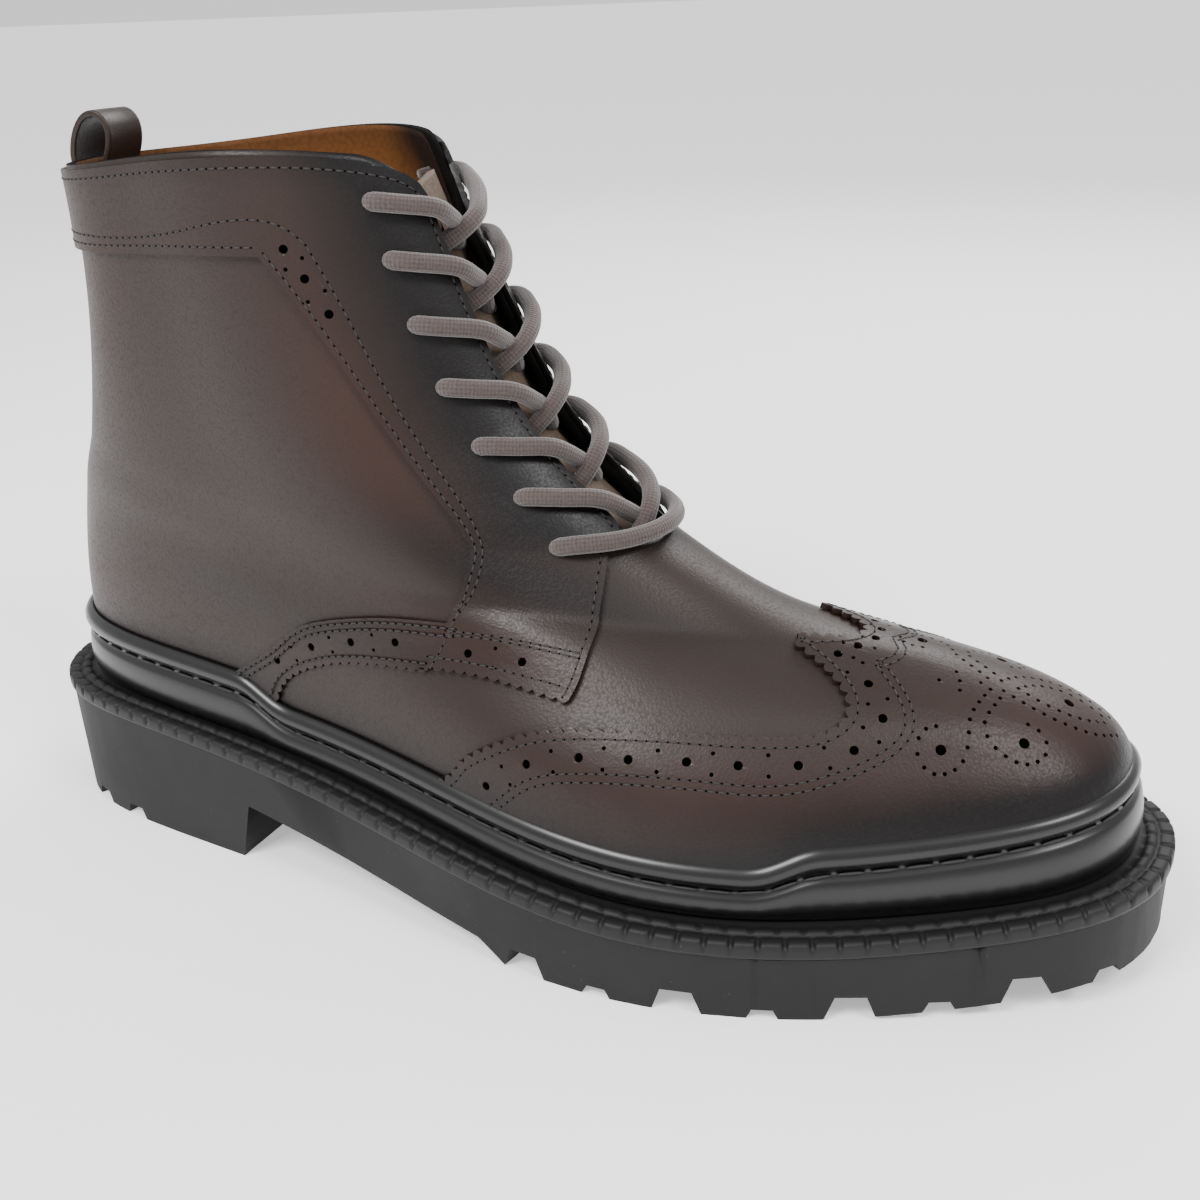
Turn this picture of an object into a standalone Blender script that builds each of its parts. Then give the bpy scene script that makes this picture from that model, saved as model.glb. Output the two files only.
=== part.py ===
"""A right lace-up brogue boot with an inner side zip, on a one-piece lug sole.

Axes: +X to the toe, -Y to the outer side, +Z up, metres. The boot is worked out with
the back of its heel at X = 0 and the floor at Z = 0, then moved over its middle.
"""

import math

import bmesh
import bpy
import numpy as np
from mathutils import Matrix, Vector

MM = 0.001

# Driving sizes of the boot
LENGTH = 312 * MM
BALL_WIDTH = 113 * MM
HEEL_HEIGHT = 37 * MM
BALL_HEIGHT = 21.5 * MM
TOE_SPRING = 8 * MM
SHAFT_HEIGHT = 142 * MM
INSTEP = 68 * MM
WALL = 2.4 * MM
OVERLAY = 1.3 * MM
CLEAR = 0.3 * MM
PANEL_GAP = 0.55 * MM
COLLAR_ARCH = 4.5 * MM

# Half widths are given at these shares of a section's length, between its two round ends.
STATIONS = (0.14, 0.40, 0.64, 0.88)

# The sole's outline, shares of BALL_WIDTH: back_round, heel, waist, ball, toe, tip_round.
# A round end's number is its radius times half the length, squared root, so that it adds
# up with the widths.
SOLE_OUTER = (0.880, 0.363, 0.478, 0.586, 0.385, 0.800)
SOLE_INNER = (0.760, 0.363, 0.300, 0.414, 0.350, 0.740)

# The welt's top above the floor: fall from the heel to the ball, and toe spring.
TOP_ALONG = (0.0, 0.19, 0.40, 0.64, 0.84, 1.0)
TOP_FALL = (0.0, 0.09, 0.49, 1.0, 1.0, 1.0)
TOP_SPRING = (0.0, 0.0, 0.0, 0.0, 0.05, 0.80)

# The upper's sections, a row for each loop from the welt to the collar. back and front
# are places along LENGTH, back_rise is a share of SHAFT_HEIGHT, front_rise a share of
# INSTEP up to 1 and of the rest of the shaft above 1, and the others are shares of
# BALL_WIDTH, but for follow and arch, which are shares of the sole's curve and of COLLAR_ARCH.
# gap_outer and gap_inner reach from the front's middle to the throat's edges.
LOOP_COLUMNS = (
    "back", "back_rise", "front", "front_rise", "front_side", "follow", "arch",
    "back_round", "heel_outer", "waist_outer", "ball_outer", "toe_outer", "front_round",
    "heel_inner", "waist_inner", "ball_inner", "toe_inner", "front_round_inner", "gap_outer", "gap_inner",
)
LOOP_ROWS = (
    (.031, .002, .964, .006, 0.0, 1.0, 0.0, .64, .29, .387, .493, .31, .64, .27, .212, .31, .262, .64, .0885, .0885),
    (.028, .063, .966, .159, 0.0, 1.0, 0.0, .64, .292, .389, .496, .317, .64, .276, .23, .319, .268, .64, .0885, .0885),
    (.028, .148, .957, .335, 0.0, .85, 0.0, .635, .29, .385, .478, .293, .59, .28, .255, .322, .262, .59, .0885, .0885),
    (.031, .232, .936, .447, 0.0, 0.6, 0.0, .62, .29, .372, .434, .256, .47, .28, .275, 0.3, .225, .47, .0885, .0885),
    (.037, .317, .897, .56, -.01, .35, 0.0, .59, .286, .354, .366, .208, .36, .278, .285, .262, .172, .36, .0885, .0885),
    (.044, .387, .82, .697, -.03, .15, 0.0, .55, .28, .337, .318, .135, .19, .274, .29, .24, .108, .19, .0885, .0885),
    (.05, .437, .72, .803, -.045, .05, 0.0, 0.5, .274, .327, .312, .165, .225, .27, .298, .256, .146, .225, .0885, .0885),
    (.059, .486, .642, .95, -.053, 0.0, 0.0, .46, .267, .325, .315, .18, .32, .265, .305, .28, .17, .32, .0885, .0885),
    (.065, .528, .594, 1.07, -.053, 0.0, 0.1, .436, .262, .324, .32, .186, .35, .261, .31, .292, .18, .35, .0885, .0885),
    (.077, .634, .526, 1.31, -.049, 0.0, 0.3, .398, .254, .317, .322, .186, .345, .252, .31, .305, .186, .345, .0885, .08),
    (.088, .768, .479, 1.63, -.044, 0.0, 0.6, .369, .248, .31, .319, .19, .34, .248, .31, .308, .19, .33, .0885, .06),
    (.092, .901, .45, 1.91, -.048, 0.0, 0.9, .35, .243, .305, .314, .195, .34, .243, .305, .31, .195, .12, .08, .045),
    (.092, .998, .431, 2.13, -.056, 0.0, 1.0, .342, .243, .305, .314, .199, .34, .243, .305, .31, .199, .075, .068, .035),
)
THROAT_ROW = 8


def natural_spline(knots, values):
    """The natural cubic spline through the values, which may be rows, as a function."""
    knots = np.asarray(knots, float)
    values = np.asarray(values, float)
    steps = np.diff(knots)
    count = len(knots)
    matrix = np.eye(count)
    right = np.zeros(values.shape)
    for i in range(1, count - 1):
        matrix[i, i - 1: i + 2] = steps[i - 1], 2 * (steps[i - 1] + steps[i]), steps[i]
        right[i] = 6 * ((values[i + 1] - values[i]) / steps[i] - (values[i] - values[i - 1]) / steps[i - 1])
    bends = np.linalg.solve(matrix, right)

    def at(where):
        where = np.asarray(where, float)
        i = np.clip(np.searchsorted(knots, where) - 1, 0, count - 2)
        a = (knots[i + 1] - where) / steps[i]
        step = steps[i]
        if values.ndim > 1:
            a = a[..., None]
            step = step[..., None]
        b = 1 - a
        bend = ((a**3 - a) * bends[i] + (b**3 - b) * bends[i + 1]) * step**2 / 6
        return a * values[i] + b * values[i + 1] + bend

    return at


TURNS = np.array([0.0] + [math.acos(1 - 2 * share) for share in STATIONS] + [math.pi])
TURN_SCALE = np.array([1.0] + [1 / math.sin(turn) for turn in TURNS[1:-1]] + [1.0])
TURN_BASIS = natural_spline(TURNS, np.eye(len(TURNS)))
LOOPS = natural_spline(np.linspace(0, 1, len(LOOP_ROWS)), LOOP_ROWS)
THROAT_LEVEL = THROAT_ROW / (len(LOOP_ROWS) - 1)
TOP_FALL_AT = natural_spline(TOP_ALONG, TOP_FALL)
TOP_SPRING_AT = natural_spline(TOP_ALONG, TOP_SPRING)


def half_width(turn, widths):
    """Half width at a turn from 0 at the back to pi at the front, in the widths' unit."""
    return np.sin(turn) * (TURN_BASIS(turn) * (np.asarray(widths) * TURN_SCALE)).sum(-1)


def sole_top(x):
    """Height of the welt's top at x."""
    along = np.clip(x / LENGTH, 0, 1)
    fall = (HEEL_HEIGHT - BALL_HEIGHT) * TOP_FALL_AT(along)
    return HEEL_HEIGHT - fall + TOE_SPRING * TOP_SPRING_AT(along)


def fold(u):
    """The turn from the back, and whether it is on the inner side, for u of 0 to 1 round the boot."""
    u = np.mod(u, 1.0)
    return 2 * math.pi * np.minimum(u, 1 - u), u > 0.5


def sole_edge(u, inset=0.0):
    """x and y of the sole's outline, moved inwards by inset."""
    def edge(where):
        turn, inner = fold(where)
        outer_y = -half_width(turn, SOLE_OUTER) * BALL_WIDTH
        inner_y = half_width(turn, SOLE_INNER) * BALL_WIDTH
        return np.stack([LENGTH * (1 - np.cos(turn)) / 2, np.where(inner, inner_y, outer_y)], -1)

    u = np.asarray(u, float)
    small = 1e-4
    along = edge(u + small) - edge(u - small)
    along /= np.linalg.norm(along, axis=-1, keepdims=True)
    inwards = np.stack([-along[..., 1], along[..., 0]], -1)
    return edge(u) + inset * inwards


def upper_point(u, v):
    """The upper's outer face, u round the boot from the back and v from the welt to the collar."""
    u, v = np.broadcast_arrays(np.asarray(u, float), np.asarray(v, float))
    row = dict(zip(LOOP_COLUMNS, np.moveaxis(LOOPS(v), -1, 0)))
    turn, inner = fold(u)
    share = (1 - np.cos(turn)) / 2
    widths = {}
    for side, front in (("outer", "front_round"), ("inner", "front_round_inner")):
        names = ("back_round", "heel_" + side, "waist_" + side, "ball_" + side, "toe_" + side, front)
        widths[side] = half_width(turn, np.stack([row[name] for name in names], -1))
    middle = row["front_side"] * share**2 * (3 - 2 * share)
    y = (middle + np.where(inner, widths["inner"], -widths["outer"])) * BALL_WIDTH
    back = row["back"] * LENGTH
    front = row["front"] * LENGTH
    x = back + (front - back) * share
    low = np.minimum(row["front_rise"], 1) * INSTEP
    high = np.maximum(row["front_rise"] - 1, 0) * (SHAFT_HEIGHT - INSTEP)
    back_z = sole_top(back) + row["back_rise"] * SHAFT_HEIGHT
    front_z = sole_top(front) + low + high
    chord = sole_top(back) + (sole_top(front) - sole_top(back)) * share
    arch = COLLAR_ARCH * row["arch"] * 6.75 * share**2 * (1 - share)
    z = back_z + (front_z - back_z) * share + row["follow"] * (sole_top(x) - chord) + arch
    return np.stack([x, y, z], -1)


def upper_normal(u, v):
    small = 1e-3
    low = np.clip(np.asarray(v, float) - small, 0, 1)
    high = np.clip(np.asarray(v, float) + small, 0, 1)
    across = upper_point(u + small, v) - upper_point(u - small, v)
    up = upper_point(u, high) - upper_point(u, low)
    normal = np.cross(across, up)
    return normal / np.linalg.norm(normal, axis=-1, keepdims=True)


# The grid that the upper's faces are cut from, and that every piece on it follows.
COLUMNS = 56
ROWS = 14
GAP_START = 26 / COLUMNS


def column_u(t, v):
    """u of a grid column: columns at GAP_START and 1 - GAP_START run along the throat's edges."""
    t, v = np.broadcast_arrays(np.asarray(t, float), np.asarray(v, float))
    row = dict(zip(LOOP_COLUMNS, np.moveaxis(LOOPS(np.maximum(v, THROAT_LEVEL)), -1, 0)))
    u = t
    for inner, gap, round_end in ((False, "gap_outer", "front_round"), (True, "gap_inner", "front_round_inner")):
        half_gap = np.arcsin(row[gap] / row[round_end]) / (2 * math.pi)
        near = 1 - t if inner else t
        on_side = near * (0.5 - half_gap) / GAP_START
        in_gap = 0.5 - (0.5 - near) * half_gap / (0.5 - GAP_START)
        place = np.where(near < GAP_START, on_side, in_gap)
        u = np.where((t > 0.5) == inner, 1 - place if inner else place, u)
    return u


def grid_nodes():
    rows, columns = np.meshgrid(np.linspace(0, 1, ROWS + 1), np.linspace(0, 1, COLUMNS + 1), indexing="ij")
    u = column_u(columns, rows)
    return upper_point(u, rows), upper_normal(u, rows)


GRID, GRID_NORMAL = grid_nodes()


def on_upper(t, v, height):
    """A point at a height over the upper's facets, t round the boot and v from welt to collar."""
    t = np.mod(np.asarray(t, float), 1.0) * COLUMNS
    v = np.clip(np.asarray(v, float), 0, 1) * ROWS
    j = np.clip(np.floor(t).astype(int), 0, COLUMNS - 1)
    i = np.clip(np.floor(v).astype(int), 0, ROWS - 1)
    a = (t - j)[..., None]
    b = (v - i)[..., None]
    mixed = []
    for nodes in (GRID, GRID_NORMAL):
        low = nodes[i, j] * (1 - a) + nodes[i, j + 1] * a
        high = nodes[i + 1, j] * (1 - a) + nodes[i + 1, j + 1] * a
        mixed.append(low * (1 - b) + high * b)
    return mixed[0] + mixed[1] * np.asarray(height, float)[..., None]


def material(name, colour, roughness, metallic=0.0):
    made = bpy.data.materials.new(name)
    made.use_nodes = True
    shader = made.node_tree.nodes["Principled BSDF"]
    shader.inputs["Base Color"].default_value = (*colour, 1)
    shader.inputs["Roughness"].default_value = roughness
    shader.inputs["Metallic"].default_value = metallic
    made.diffuse_color = (*colour, 1)
    return made


def add_object(name, points, faces, finish):
    """One closed mesh with its faces turned outwards."""
    mesh = bpy.data.meshes.new(name)
    mesh.from_pydata([tuple(p) for p in np.reshape(points, (-1, 3))], [], faces)
    shape = bmesh.new()
    shape.from_mesh(mesh)
    bmesh.ops.remove_doubles(shape, verts=shape.verts, dist=1e-6)
    bmesh.ops.recalc_face_normals(shape, faces=shape.faces)
    shape.to_mesh(mesh)
    shape.free()
    mesh.materials.append(finish)
    obj = bpy.data.objects.new(name, mesh)
    bpy.context.collection.objects.link(obj)
    return obj


def sheet(name, top, bottom, finish, keep=None, ring=False):
    """A closed solid between two grids of points; keep marks the grid cells that are there."""
    rows, columns = top.shape[:2]
    points = np.concatenate([top.reshape(-1, 3), bottom.reshape(-1, 3)])
    below = rows * columns
    last = columns - 1
    if keep is None:
        keep = np.ones((rows - 1, last), bool)
    faces = []

    def there(i, j):
        if ring:
            j %= last
        return 0 <= i < rows - 1 and 0 <= j < last and keep[i, j]

    for i in range(rows - 1):
        for j in range(last):
            if not keep[i, j]:
                continue
            k = j + 1
            a, b, c, d = i * columns + j, i * columns + k, (i + 1) * columns + k, (i + 1) * columns + j
            faces.append((a, b, c, d))
            faces.append((d + below, c + below, b + below, a + below))
            sides = (((i - 1, j), a, b), ((i, j + 1), b, c), ((i + 1, j), c, d), ((i, j - 1), d, a))
            for cell, start, end in sides:
                if not there(*cell):
                    faces.append((start, start + below, end + below, end))
    used = sorted({corner for face in faces for corner in face})
    place = {corner: k for k, corner in enumerate(used)}
    return add_object(name, points[used], [tuple(place[c] for c in face) for face in faces], finish)


def ladder(name, outer, inner, top, bottom, finish):
    """A solid between two edges, given as x and y at the same stations, and two heights."""
    count = len(outer)
    heights = (np.broadcast_to(top, count), np.broadcast_to(bottom, count))
    grids = [np.stack([np.column_stack([edge, z]) for edge in (outer, inner)]) for z in heights]
    return sheet(name, grids[0], grids[1], finish)


def evaluated_mesh(obj):
    graph = bpy.context.evaluated_depsgraph_get()
    return bpy.data.meshes.new_from_object(obj.evaluated_get(graph))


def boolean(obj, other, operation):
    cut = obj.modifiers.new(operation.title(), "BOOLEAN")
    cut.operation = operation
    cut.object = other
    cut.solver = "EXACT"
    mesh = evaluated_mesh(obj)
    obj.modifiers.clear()
    old = obj.data
    obj.data = mesh
    bpy.data.meshes.remove(old)
    bpy.data.objects.remove(other)


def panel(name, outline, finish, low=PANEL_GAP, high=PANEL_GAP + OVERLAY):
    """A leather panel on the upper's facets, from its outline in t and v."""
    outline = np.asarray(outline, float) * (COLUMNS, ROWS)
    first = np.maximum(np.floor(outline.min(0)).astype(int), 0)
    last = np.ceil(outline.max(0)).astype(int)
    across = np.arange(first[0], last[0] + 1)
    up = np.arange(first[1], min(last[1], ROWS) + 1)
    flat = np.zeros((len(up), len(across), 3))
    flat[..., 0] = across
    flat[..., 1] = up[:, None]
    obj = sheet(name, flat + (0, 0, 1), flat, finish)
    ends = np.concatenate([np.column_stack([outline, np.full(len(outline), z)]) for z in (-1.0, 2.0)])
    count = len(outline)
    sides = [(k, (k + 1) % count, (k + 1) % count + count, k + count) for k in range(count)]
    caps = [tuple(range(count)), tuple(range(count, 2 * count))]
    boolean(obj, add_object("outline", ends, sides + caps, finish), "INTERSECT")
    spots = np.array([vertex.co for vertex in obj.data.vertices])
    placed = on_upper(spots[:, 0] / COLUMNS, spots[:, 1] / ROWS, low + (high - low) * spots[:, 2])
    obj.data.vertices.foreach_set("co", placed.ravel())
    return obj

# Seams on the upper, as places t round it and v up it. The inner side mirrors them.
RAND_TOP = ((0.0, .154), (.172, .147), (.186, .110), (.250, .113), (.338, .104), (.352, .133), (.50, .156))
FACING_FRONT = (
    (.461, .955), (.461, .86), (.461, .75), (.461, .672), (.443, .650), (.414, .604), (.361, .507),
    (.311, .389), (.295, .314),
)
FACING_BACK = (
    (.248, .300), (.259, .361), (.282, .446), (.323, .554), (.346, .661), (.350, .757), (.336, .821),
    (.311, .889),
)
BAND_LOW = ((.234, .889), (.137, .889), (.003, .889))
BAND_TOP = ((.003, .990), (.25, .990), (.40, .990), (.452, .985))
QUARTER_TOP = ((.187, .225), (.205, .304), (.225, .346), (.250, .378))
QUARTER_LOW = ((.243, .293), (.216, .250), (.202, .214), (.189, .161))
WING_EDGE = (
    (.247, .125), (.255, .150), (.266, .196), (.277, .232), (.296, .264), (.323, .279),
    (.359, .286), (.380, .325), (.393, .393), (.404, .436), (.430, .466), (.465, .452), (.50, .446),
)
RAND_CLEAR = .012
BAND_FOOT = .035
ZIP_GAP = .014

# Sole, in metres
OUTSOLE_INSET = 0.8 * MM
OUTSOLE_TAPER = 0.8 * MM
HEEL_LENGTH = 80 * MM
BREAST_SLOPE = 5 * MM
BREAST_HEIGHT = 17 * MM
ARCH_END = 170 * MM
ARCH_RISE = 5.5 * MM
ARCH_RAMP = 8 * MM
SPRING_START = 236 * MM
SPRING_POWER = 1.6
LUG_PITCH = 19.6 * MM
LUG_START = 0.25
HEEL_LUG_PITCH = 17 * MM
HEEL_LUG_START = 0.55
HEEL_LUGS = 4
# The gaps between lugs: width at the mouth, depth, and reach in from the edge. A gap's
# top is GAP_TOP of its mouth, and the toe's gaps reach TOE_REACH as far.
DEEP_GAP = (12 * MM, 5.7 * MM, 27 * MM)
SHALLOW_GAP = (8 * MM, 2.4 * MM, 14 * MM)
HEEL_GAP = (9 * MM, 3.2 * MM, 13 * MM)
MIDDLE_GAP = (6 * MM, 3.4 * MM, 22 * MM)
GAP_TOP = 0.6
TOE_REACH = 0.4
MIDDLE_GAPS = (27 * MM, 52 * MM, 182 * MM, 201.6 * MM, 221.2 * MM, 240.8 * MM)

WELT_THICK = 4 * MM
WELT_WIDTH = 17 * MM
NOTCH_PITCH = 5.9 * MM
NOTCH_DEPTH = 1.3 * MM

RAND_GAP = 0.45 * MM
RAND_THICK = 2.9 * MM
RAND_PROFILE = ((0.0, 0.9), (0.45, 1.0), (0.68, 0.55), (0.80, 0.95), (0.93, 0.85), (1.0, 0.35))

INSOLE_THICK = 4 * MM
INSOLE_GAP = 1.5 * MM
TONGUE_THICK = 2.6 * MM
TONGUE_GAP = 0.9 * MM
TONGUE_SAG = 5 * MM
TONGUE_SPREAD = 0.072
LACE = 4.6 * MM
EYELETS = (.946, .889, .836, .789, .744, .700, .640)
EYELET_COLUMN = .402

LOOP_WIDTH = 13 * MM
LOOP_THICK = 1.6 * MM
LOOP_BOW = 27 * MM
# The pull loop over the collar's back, forwards and up from it, from outside to inside.
LOOP_PATH = ((-2.8, 1.5), (-1.6, 5.0), (1.2, 8.6), (4.4, 9.4), (6.4, 7.0), (5.6, 2.5))

ZIP_LINE = ((.781, .985), (.781, .90), (.789, .75), (.800, .60), (.812, .45), (.819, .33))
ZIP_TOP = ZIP_LINE[0][0]
ZIP_WIDTH = 5 * MM
ZIP_HEIGHT = 1.1 * MM
SLIDER_LEVEL = 0.93
SLIDER = (8 * MM, 11 * MM, 2.6 * MM)
PULL = (4 * MM, 22 * MM, 1.2 * MM)
PIN = 1.2 * MM


def mirrored(points):
    return [(1 - t, v) for t, v in points]


def along(points, count):
    """Evenly numbered points on the natural spline through the given ones."""
    points = np.asarray(points, float)
    steps = np.concatenate([[0], np.cumsum(np.linalg.norm(np.diff(points, axis=0), axis=1))])
    return natural_spline(steps, points)(np.linspace(0, steps[-1], count))


def rand_top(t):
    near = np.minimum(np.mod(t, 1), 1 - np.mod(t, 1))
    return np.interp(near, *np.array(RAND_TOP).T)


def add_outsole(finish):
    breaks = (HEEL_LENGTH, HEEL_LENGTH + BREAST_SLOPE, ARCH_END - ARCH_RAMP, ARCH_END, SPRING_START)
    turns = np.linspace(0.04, math.pi - 0.04, 34)
    xs = np.unique(np.round(np.concatenate([LENGTH * (1 - np.cos(turns)) / 2, breaks]), 6))
    u = np.arccos(1 - 2 * xs / LENGTH) / (2 * math.pi)
    at = (0, HEEL_LENGTH, HEEL_LENGTH + BREAST_SLOPE, ARCH_END - ARCH_RAMP, ARCH_END, LENGTH)
    floor = np.interp(xs, at, (0, 0, BREAST_HEIGHT, ARCH_RISE, 0, 0)) + toe_rise(xs)
    top = sole_top(xs) - WELT_THICK - CLEAR
    edges = []
    for inset, height in ((OUTSOLE_INSET, top), (OUTSOLE_INSET + OUTSOLE_TAPER, floor)):
        outer = np.column_stack([sole_edge(u, inset), height])
        inner = np.column_stack([sole_edge(1 - u, inset), height])
        edges.append(np.stack([outer, inner]))
    obj = sheet("outsole", edges[0], edges[1], finish)
    boolean(obj, add_lug_gaps(), "DIFFERENCE")
    return obj


def edge_lengths():
    """Length round the sole's outline at closely set u."""
    fine = np.linspace(0, 1, 2001)
    edge = sole_edge(fine)
    steps = np.linalg.norm(np.diff(edge, axis=0), axis=1)
    return fine, edge, np.concatenate([[0], np.cumsum(steps)])


def toe_rise(x):
    return TOE_SPRING * np.clip((x - SPRING_START) / (LENGTH - SPRING_START), 0, 1) ** SPRING_POWER


def add_lug_gaps():
    """One mesh of every gap between the lugs, along the sole's edge and under its middle."""
    shape = bmesh.new()

    def gap(spot, inwards, start, end, sizes):
        """A gap along inwards from start to end of the spot, its mouth below the floor."""
        across = Vector((-inwards.y, inwards.x, 0))
        half = sizes[0] / 2
        level = float(toe_rise(spot.x))
        corners = []
        for distance in (start, end):
            for side, height in ((-1, -MM), (1, -MM), (GAP_TOP, sizes[1]), (-GAP_TOP, sizes[1])):
                corner = spot + inwards * distance + across * side * half
                corners.append(shape.verts.new((corner.x, corner.y, level + height)))
        for face in ((3, 2, 1, 0), (4, 5, 6, 7), (0, 1, 5, 4), (1, 2, 6, 5), (2, 3, 7, 6), (3, 0, 4, 7)):
            shape.faces.new([corners[k] for k in face])

    def edge_gap(u, sizes):
        spot = Vector((*sole_edge(u), 0))
        inwards = (Vector((*sole_edge(u, MM), 0)) - spot).normalized()
        reach = sizes[2] * np.interp(spot.x / LENGTH, (0.78, 0.90), (1, TOE_REACH))
        gap(spot, inwards, -4 * MM, reach, sizes)

    fine, edge, length = edge_lengths()
    tip = length[len(fine) // 2]
    for inner in (False, True):
        side = (fine > 0.5) == inner
        start = length[side][np.abs(edge[side, 0] - ARCH_END).argmin()]
        direction = -1 if inner else 1
        for k in range(int(abs(tip - start) / LUG_PITCH - LUG_START)):
            u = np.interp(start + direction * (k + LUG_START) * LUG_PITCH, length, fine)
            edge_gap(u, DEEP_GAP if k % 2 == 0 else SHALLOW_GAP)
        for k in range(HEEL_LUGS):
            u = np.interp((k + HEEL_LUG_START) * HEEL_LUG_PITCH, length, fine)
            edge_gap(1 - u if inner else u, HEEL_GAP)
    for x in MIDDLE_GAPS:
        u = math.acos(1 - 2 * x / LENGTH) / (2 * math.pi)
        middle = (sole_edge(u) + sole_edge(1 - u)) / 2
        gap(Vector((*middle, 0)), Vector((0, 1, 0)), -MIDDLE_GAP[2] / 2, MIDDLE_GAP[2] / 2, MIDDLE_GAP)
    mesh = bpy.data.meshes.new("gaps")
    bmesh.ops.recalc_face_normals(shape, faces=shape.faces)
    shape.to_mesh(mesh)
    shape.free()
    obj = bpy.data.objects.new("gaps", mesh)
    bpy.context.collection.objects.link(obj)
    return obj


def add_welt(finish):
    """The welt strip, with a notch across its top edge at every pitch."""
    fine, _, length = edge_lengths()
    notches = int(length[-1] / NOTCH_PITCH)
    u = np.interp(np.arange(2 * notches) * length[-1] / (2 * notches), length, fine)
    depth = np.where(np.arange(2 * notches) % 2 == 1, NOTCH_DEPTH, 0)
    u = np.append(u, 1.0)
    depth = np.append(depth, 0)
    outer = sole_edge(u)
    cut = np.stack([sole_edge(one, inset) for one, inset in zip(u, depth)])
    inner = sole_edge(u, WELT_WIDTH)
    level = sole_top(outer[:, 0])
    top = np.stack([np.column_stack([cut, level]), np.column_stack([inner, sole_top(inner[:, 0])])])
    low = level - WELT_THICK
    low_inner = sole_top(inner[:, 0]) - WELT_THICK
    bottom = np.stack([np.column_stack([outer, low]), np.column_stack([inner, low_inner])])
    return sheet("welt", top, bottom, finish, ring=True)


def add_upper(finish):
    """The hollow upper: one wall, open along the throat, at the collar and underneath."""
    keep = np.ones((ROWS, COLUMNS), bool)
    start = round(GAP_START * COLUMNS)
    throat = round(THROAT_LEVEL * ROWS)
    keep[throat:, start: COLUMNS - start] = False
    outside = GRID.copy()
    outside[0, :, 2] += CLEAR
    inside = GRID - GRID_NORMAL * WALL
    inside[0, :, 2] = outside[0, :, 2]
    inside[-1, :, 2] = GRID[-1, :, 2]
    return sheet("upper", outside, inside, finish, keep, ring=True)


def add_rand(finish):
    """The band round the foot of the upper, with its groove and rolled top edge."""
    steps = np.array([t for t, _ in RAND_TOP[1:-1]])
    t = np.unique(np.round(np.concatenate([np.arange(COLUMNS + 1) / COLUMNS, steps, 1 - steps]), 5))
    share = np.array([row[0] for row in RAND_PROFILE])
    thick = np.array([row[1] for row in RAND_PROFILE]) * RAND_THICK
    v = share[:, None] * rand_top(t)
    columns = np.broadcast_to(t, v.shape)
    top = on_upper(columns, v, np.full(v.shape, 0.0) + RAND_GAP + thick[:, None])
    bottom = on_upper(columns, v, np.full(v.shape, RAND_GAP))
    lift = 2 * CLEAR * (1 - share)[:, None]
    top[..., 2] += lift
    bottom[..., 2] += lift
    top[0, :, 2] = bottom[0, :, 2] = sole_top(bottom[0, :, 0]) + 2 * CLEAR
    return sheet("rand", top, bottom, finish, ring=True)


def add_insole(finish):
    u = np.linspace(0.012, 0.488, 24)
    inset = WALL + INSOLE_GAP
    outer = (upper_point(u, 0.04) - upper_normal(u, 0.04) * inset)[:, :2]
    inner = (upper_point(1 - u, 0.04) - upper_normal(1 - u, 0.04) * inset)[:, :2]
    x = (outer[:, 0] + inner[:, 0]) / 2
    outer[:, 0] = inner[:, 0] = x
    return ladder("insole", outer, inner, sole_top(x) + CLEAR + INSOLE_THICK, sole_top(x) + CLEAR, finish)


def add_tongue(finish):
    """The tongue under the throat, from the vamp to the collar, sagging inwards higher up."""
    v = np.linspace(THROAT_LEVEL - 0.05, 0.975, 10)[:, None]
    u = 0.5 + np.linspace(-TONGUE_SPREAD, TONGUE_SPREAD, 7)[None, :]
    rise = (v - v[0]) / (v[-1] - v[0])
    u, v, rise = np.broadcast_arrays(u, v, rise)
    depth = WALL + TONGUE_GAP + TONGUE_SAG * rise * np.cos((u - 0.5) / TONGUE_SPREAD * math.pi / 2)
    spot = upper_point(u, v)
    normal = upper_normal(u, v)
    return sheet(
        "tongue", spot - normal * depth[..., None], spot - normal * (depth + TONGUE_THICK)[..., None], finish
    )


def add_panels(leather):
    """The toe's wing cap, the two quarter bands and the facings with the collar band."""
    steps = [t for t, _ in RAND_TOP if .247 < t < .5]
    bottom = [.247, .29] + steps + [.40, .44, .47, .5]
    low = [(t, rand_top(t) + RAND_CLEAR) for t in sorted(bottom)]
    half = along(WING_EDGE, 22).tolist()
    edge = half[:-1] + mirrored(half[::-1])
    panel("wing_cap", edge + mirrored(low)[:-1] + low[::-1], leather)
    front = [tuple(p) for p in along(FACING_FRONT, 16)]
    rear = [tuple(p) for p in along(FACING_BACK, 14)]
    outer = list(BAND_TOP) + front + rear + list(BAND_LOW)
    panel("facing_outer", outer, leather)
    inner_top = [(t, v) for t, v in BAND_TOP if t > 0.25]
    cut = 1 - ZIP_TOP + ZIP_GAP
    inner = [(cut, .990)] + inner_top + front + rear + [(cut, .889)]
    panel("facing_inner", mirrored(inner), leather)
    back = 1 - ZIP_TOP - ZIP_GAP
    panel("collar_band_inner", mirrored([(.003, .990), (back, .990), (back, .889), (.003, .889)]), leather)
    top = [tuple(p) for p in along(QUARTER_TOP, 7)]
    lower = [tuple(p) for p in along(QUARTER_LOW, 7)]
    foot = [(.180, rand_top(.180) + BAND_FOOT), (.176, rand_top(.176) + RAND_CLEAR)]
    band = top + lower + foot
    panel("quarter_band_outer", band, leather)
    panel("quarter_band_inner", mirrored(band), leather)


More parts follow.
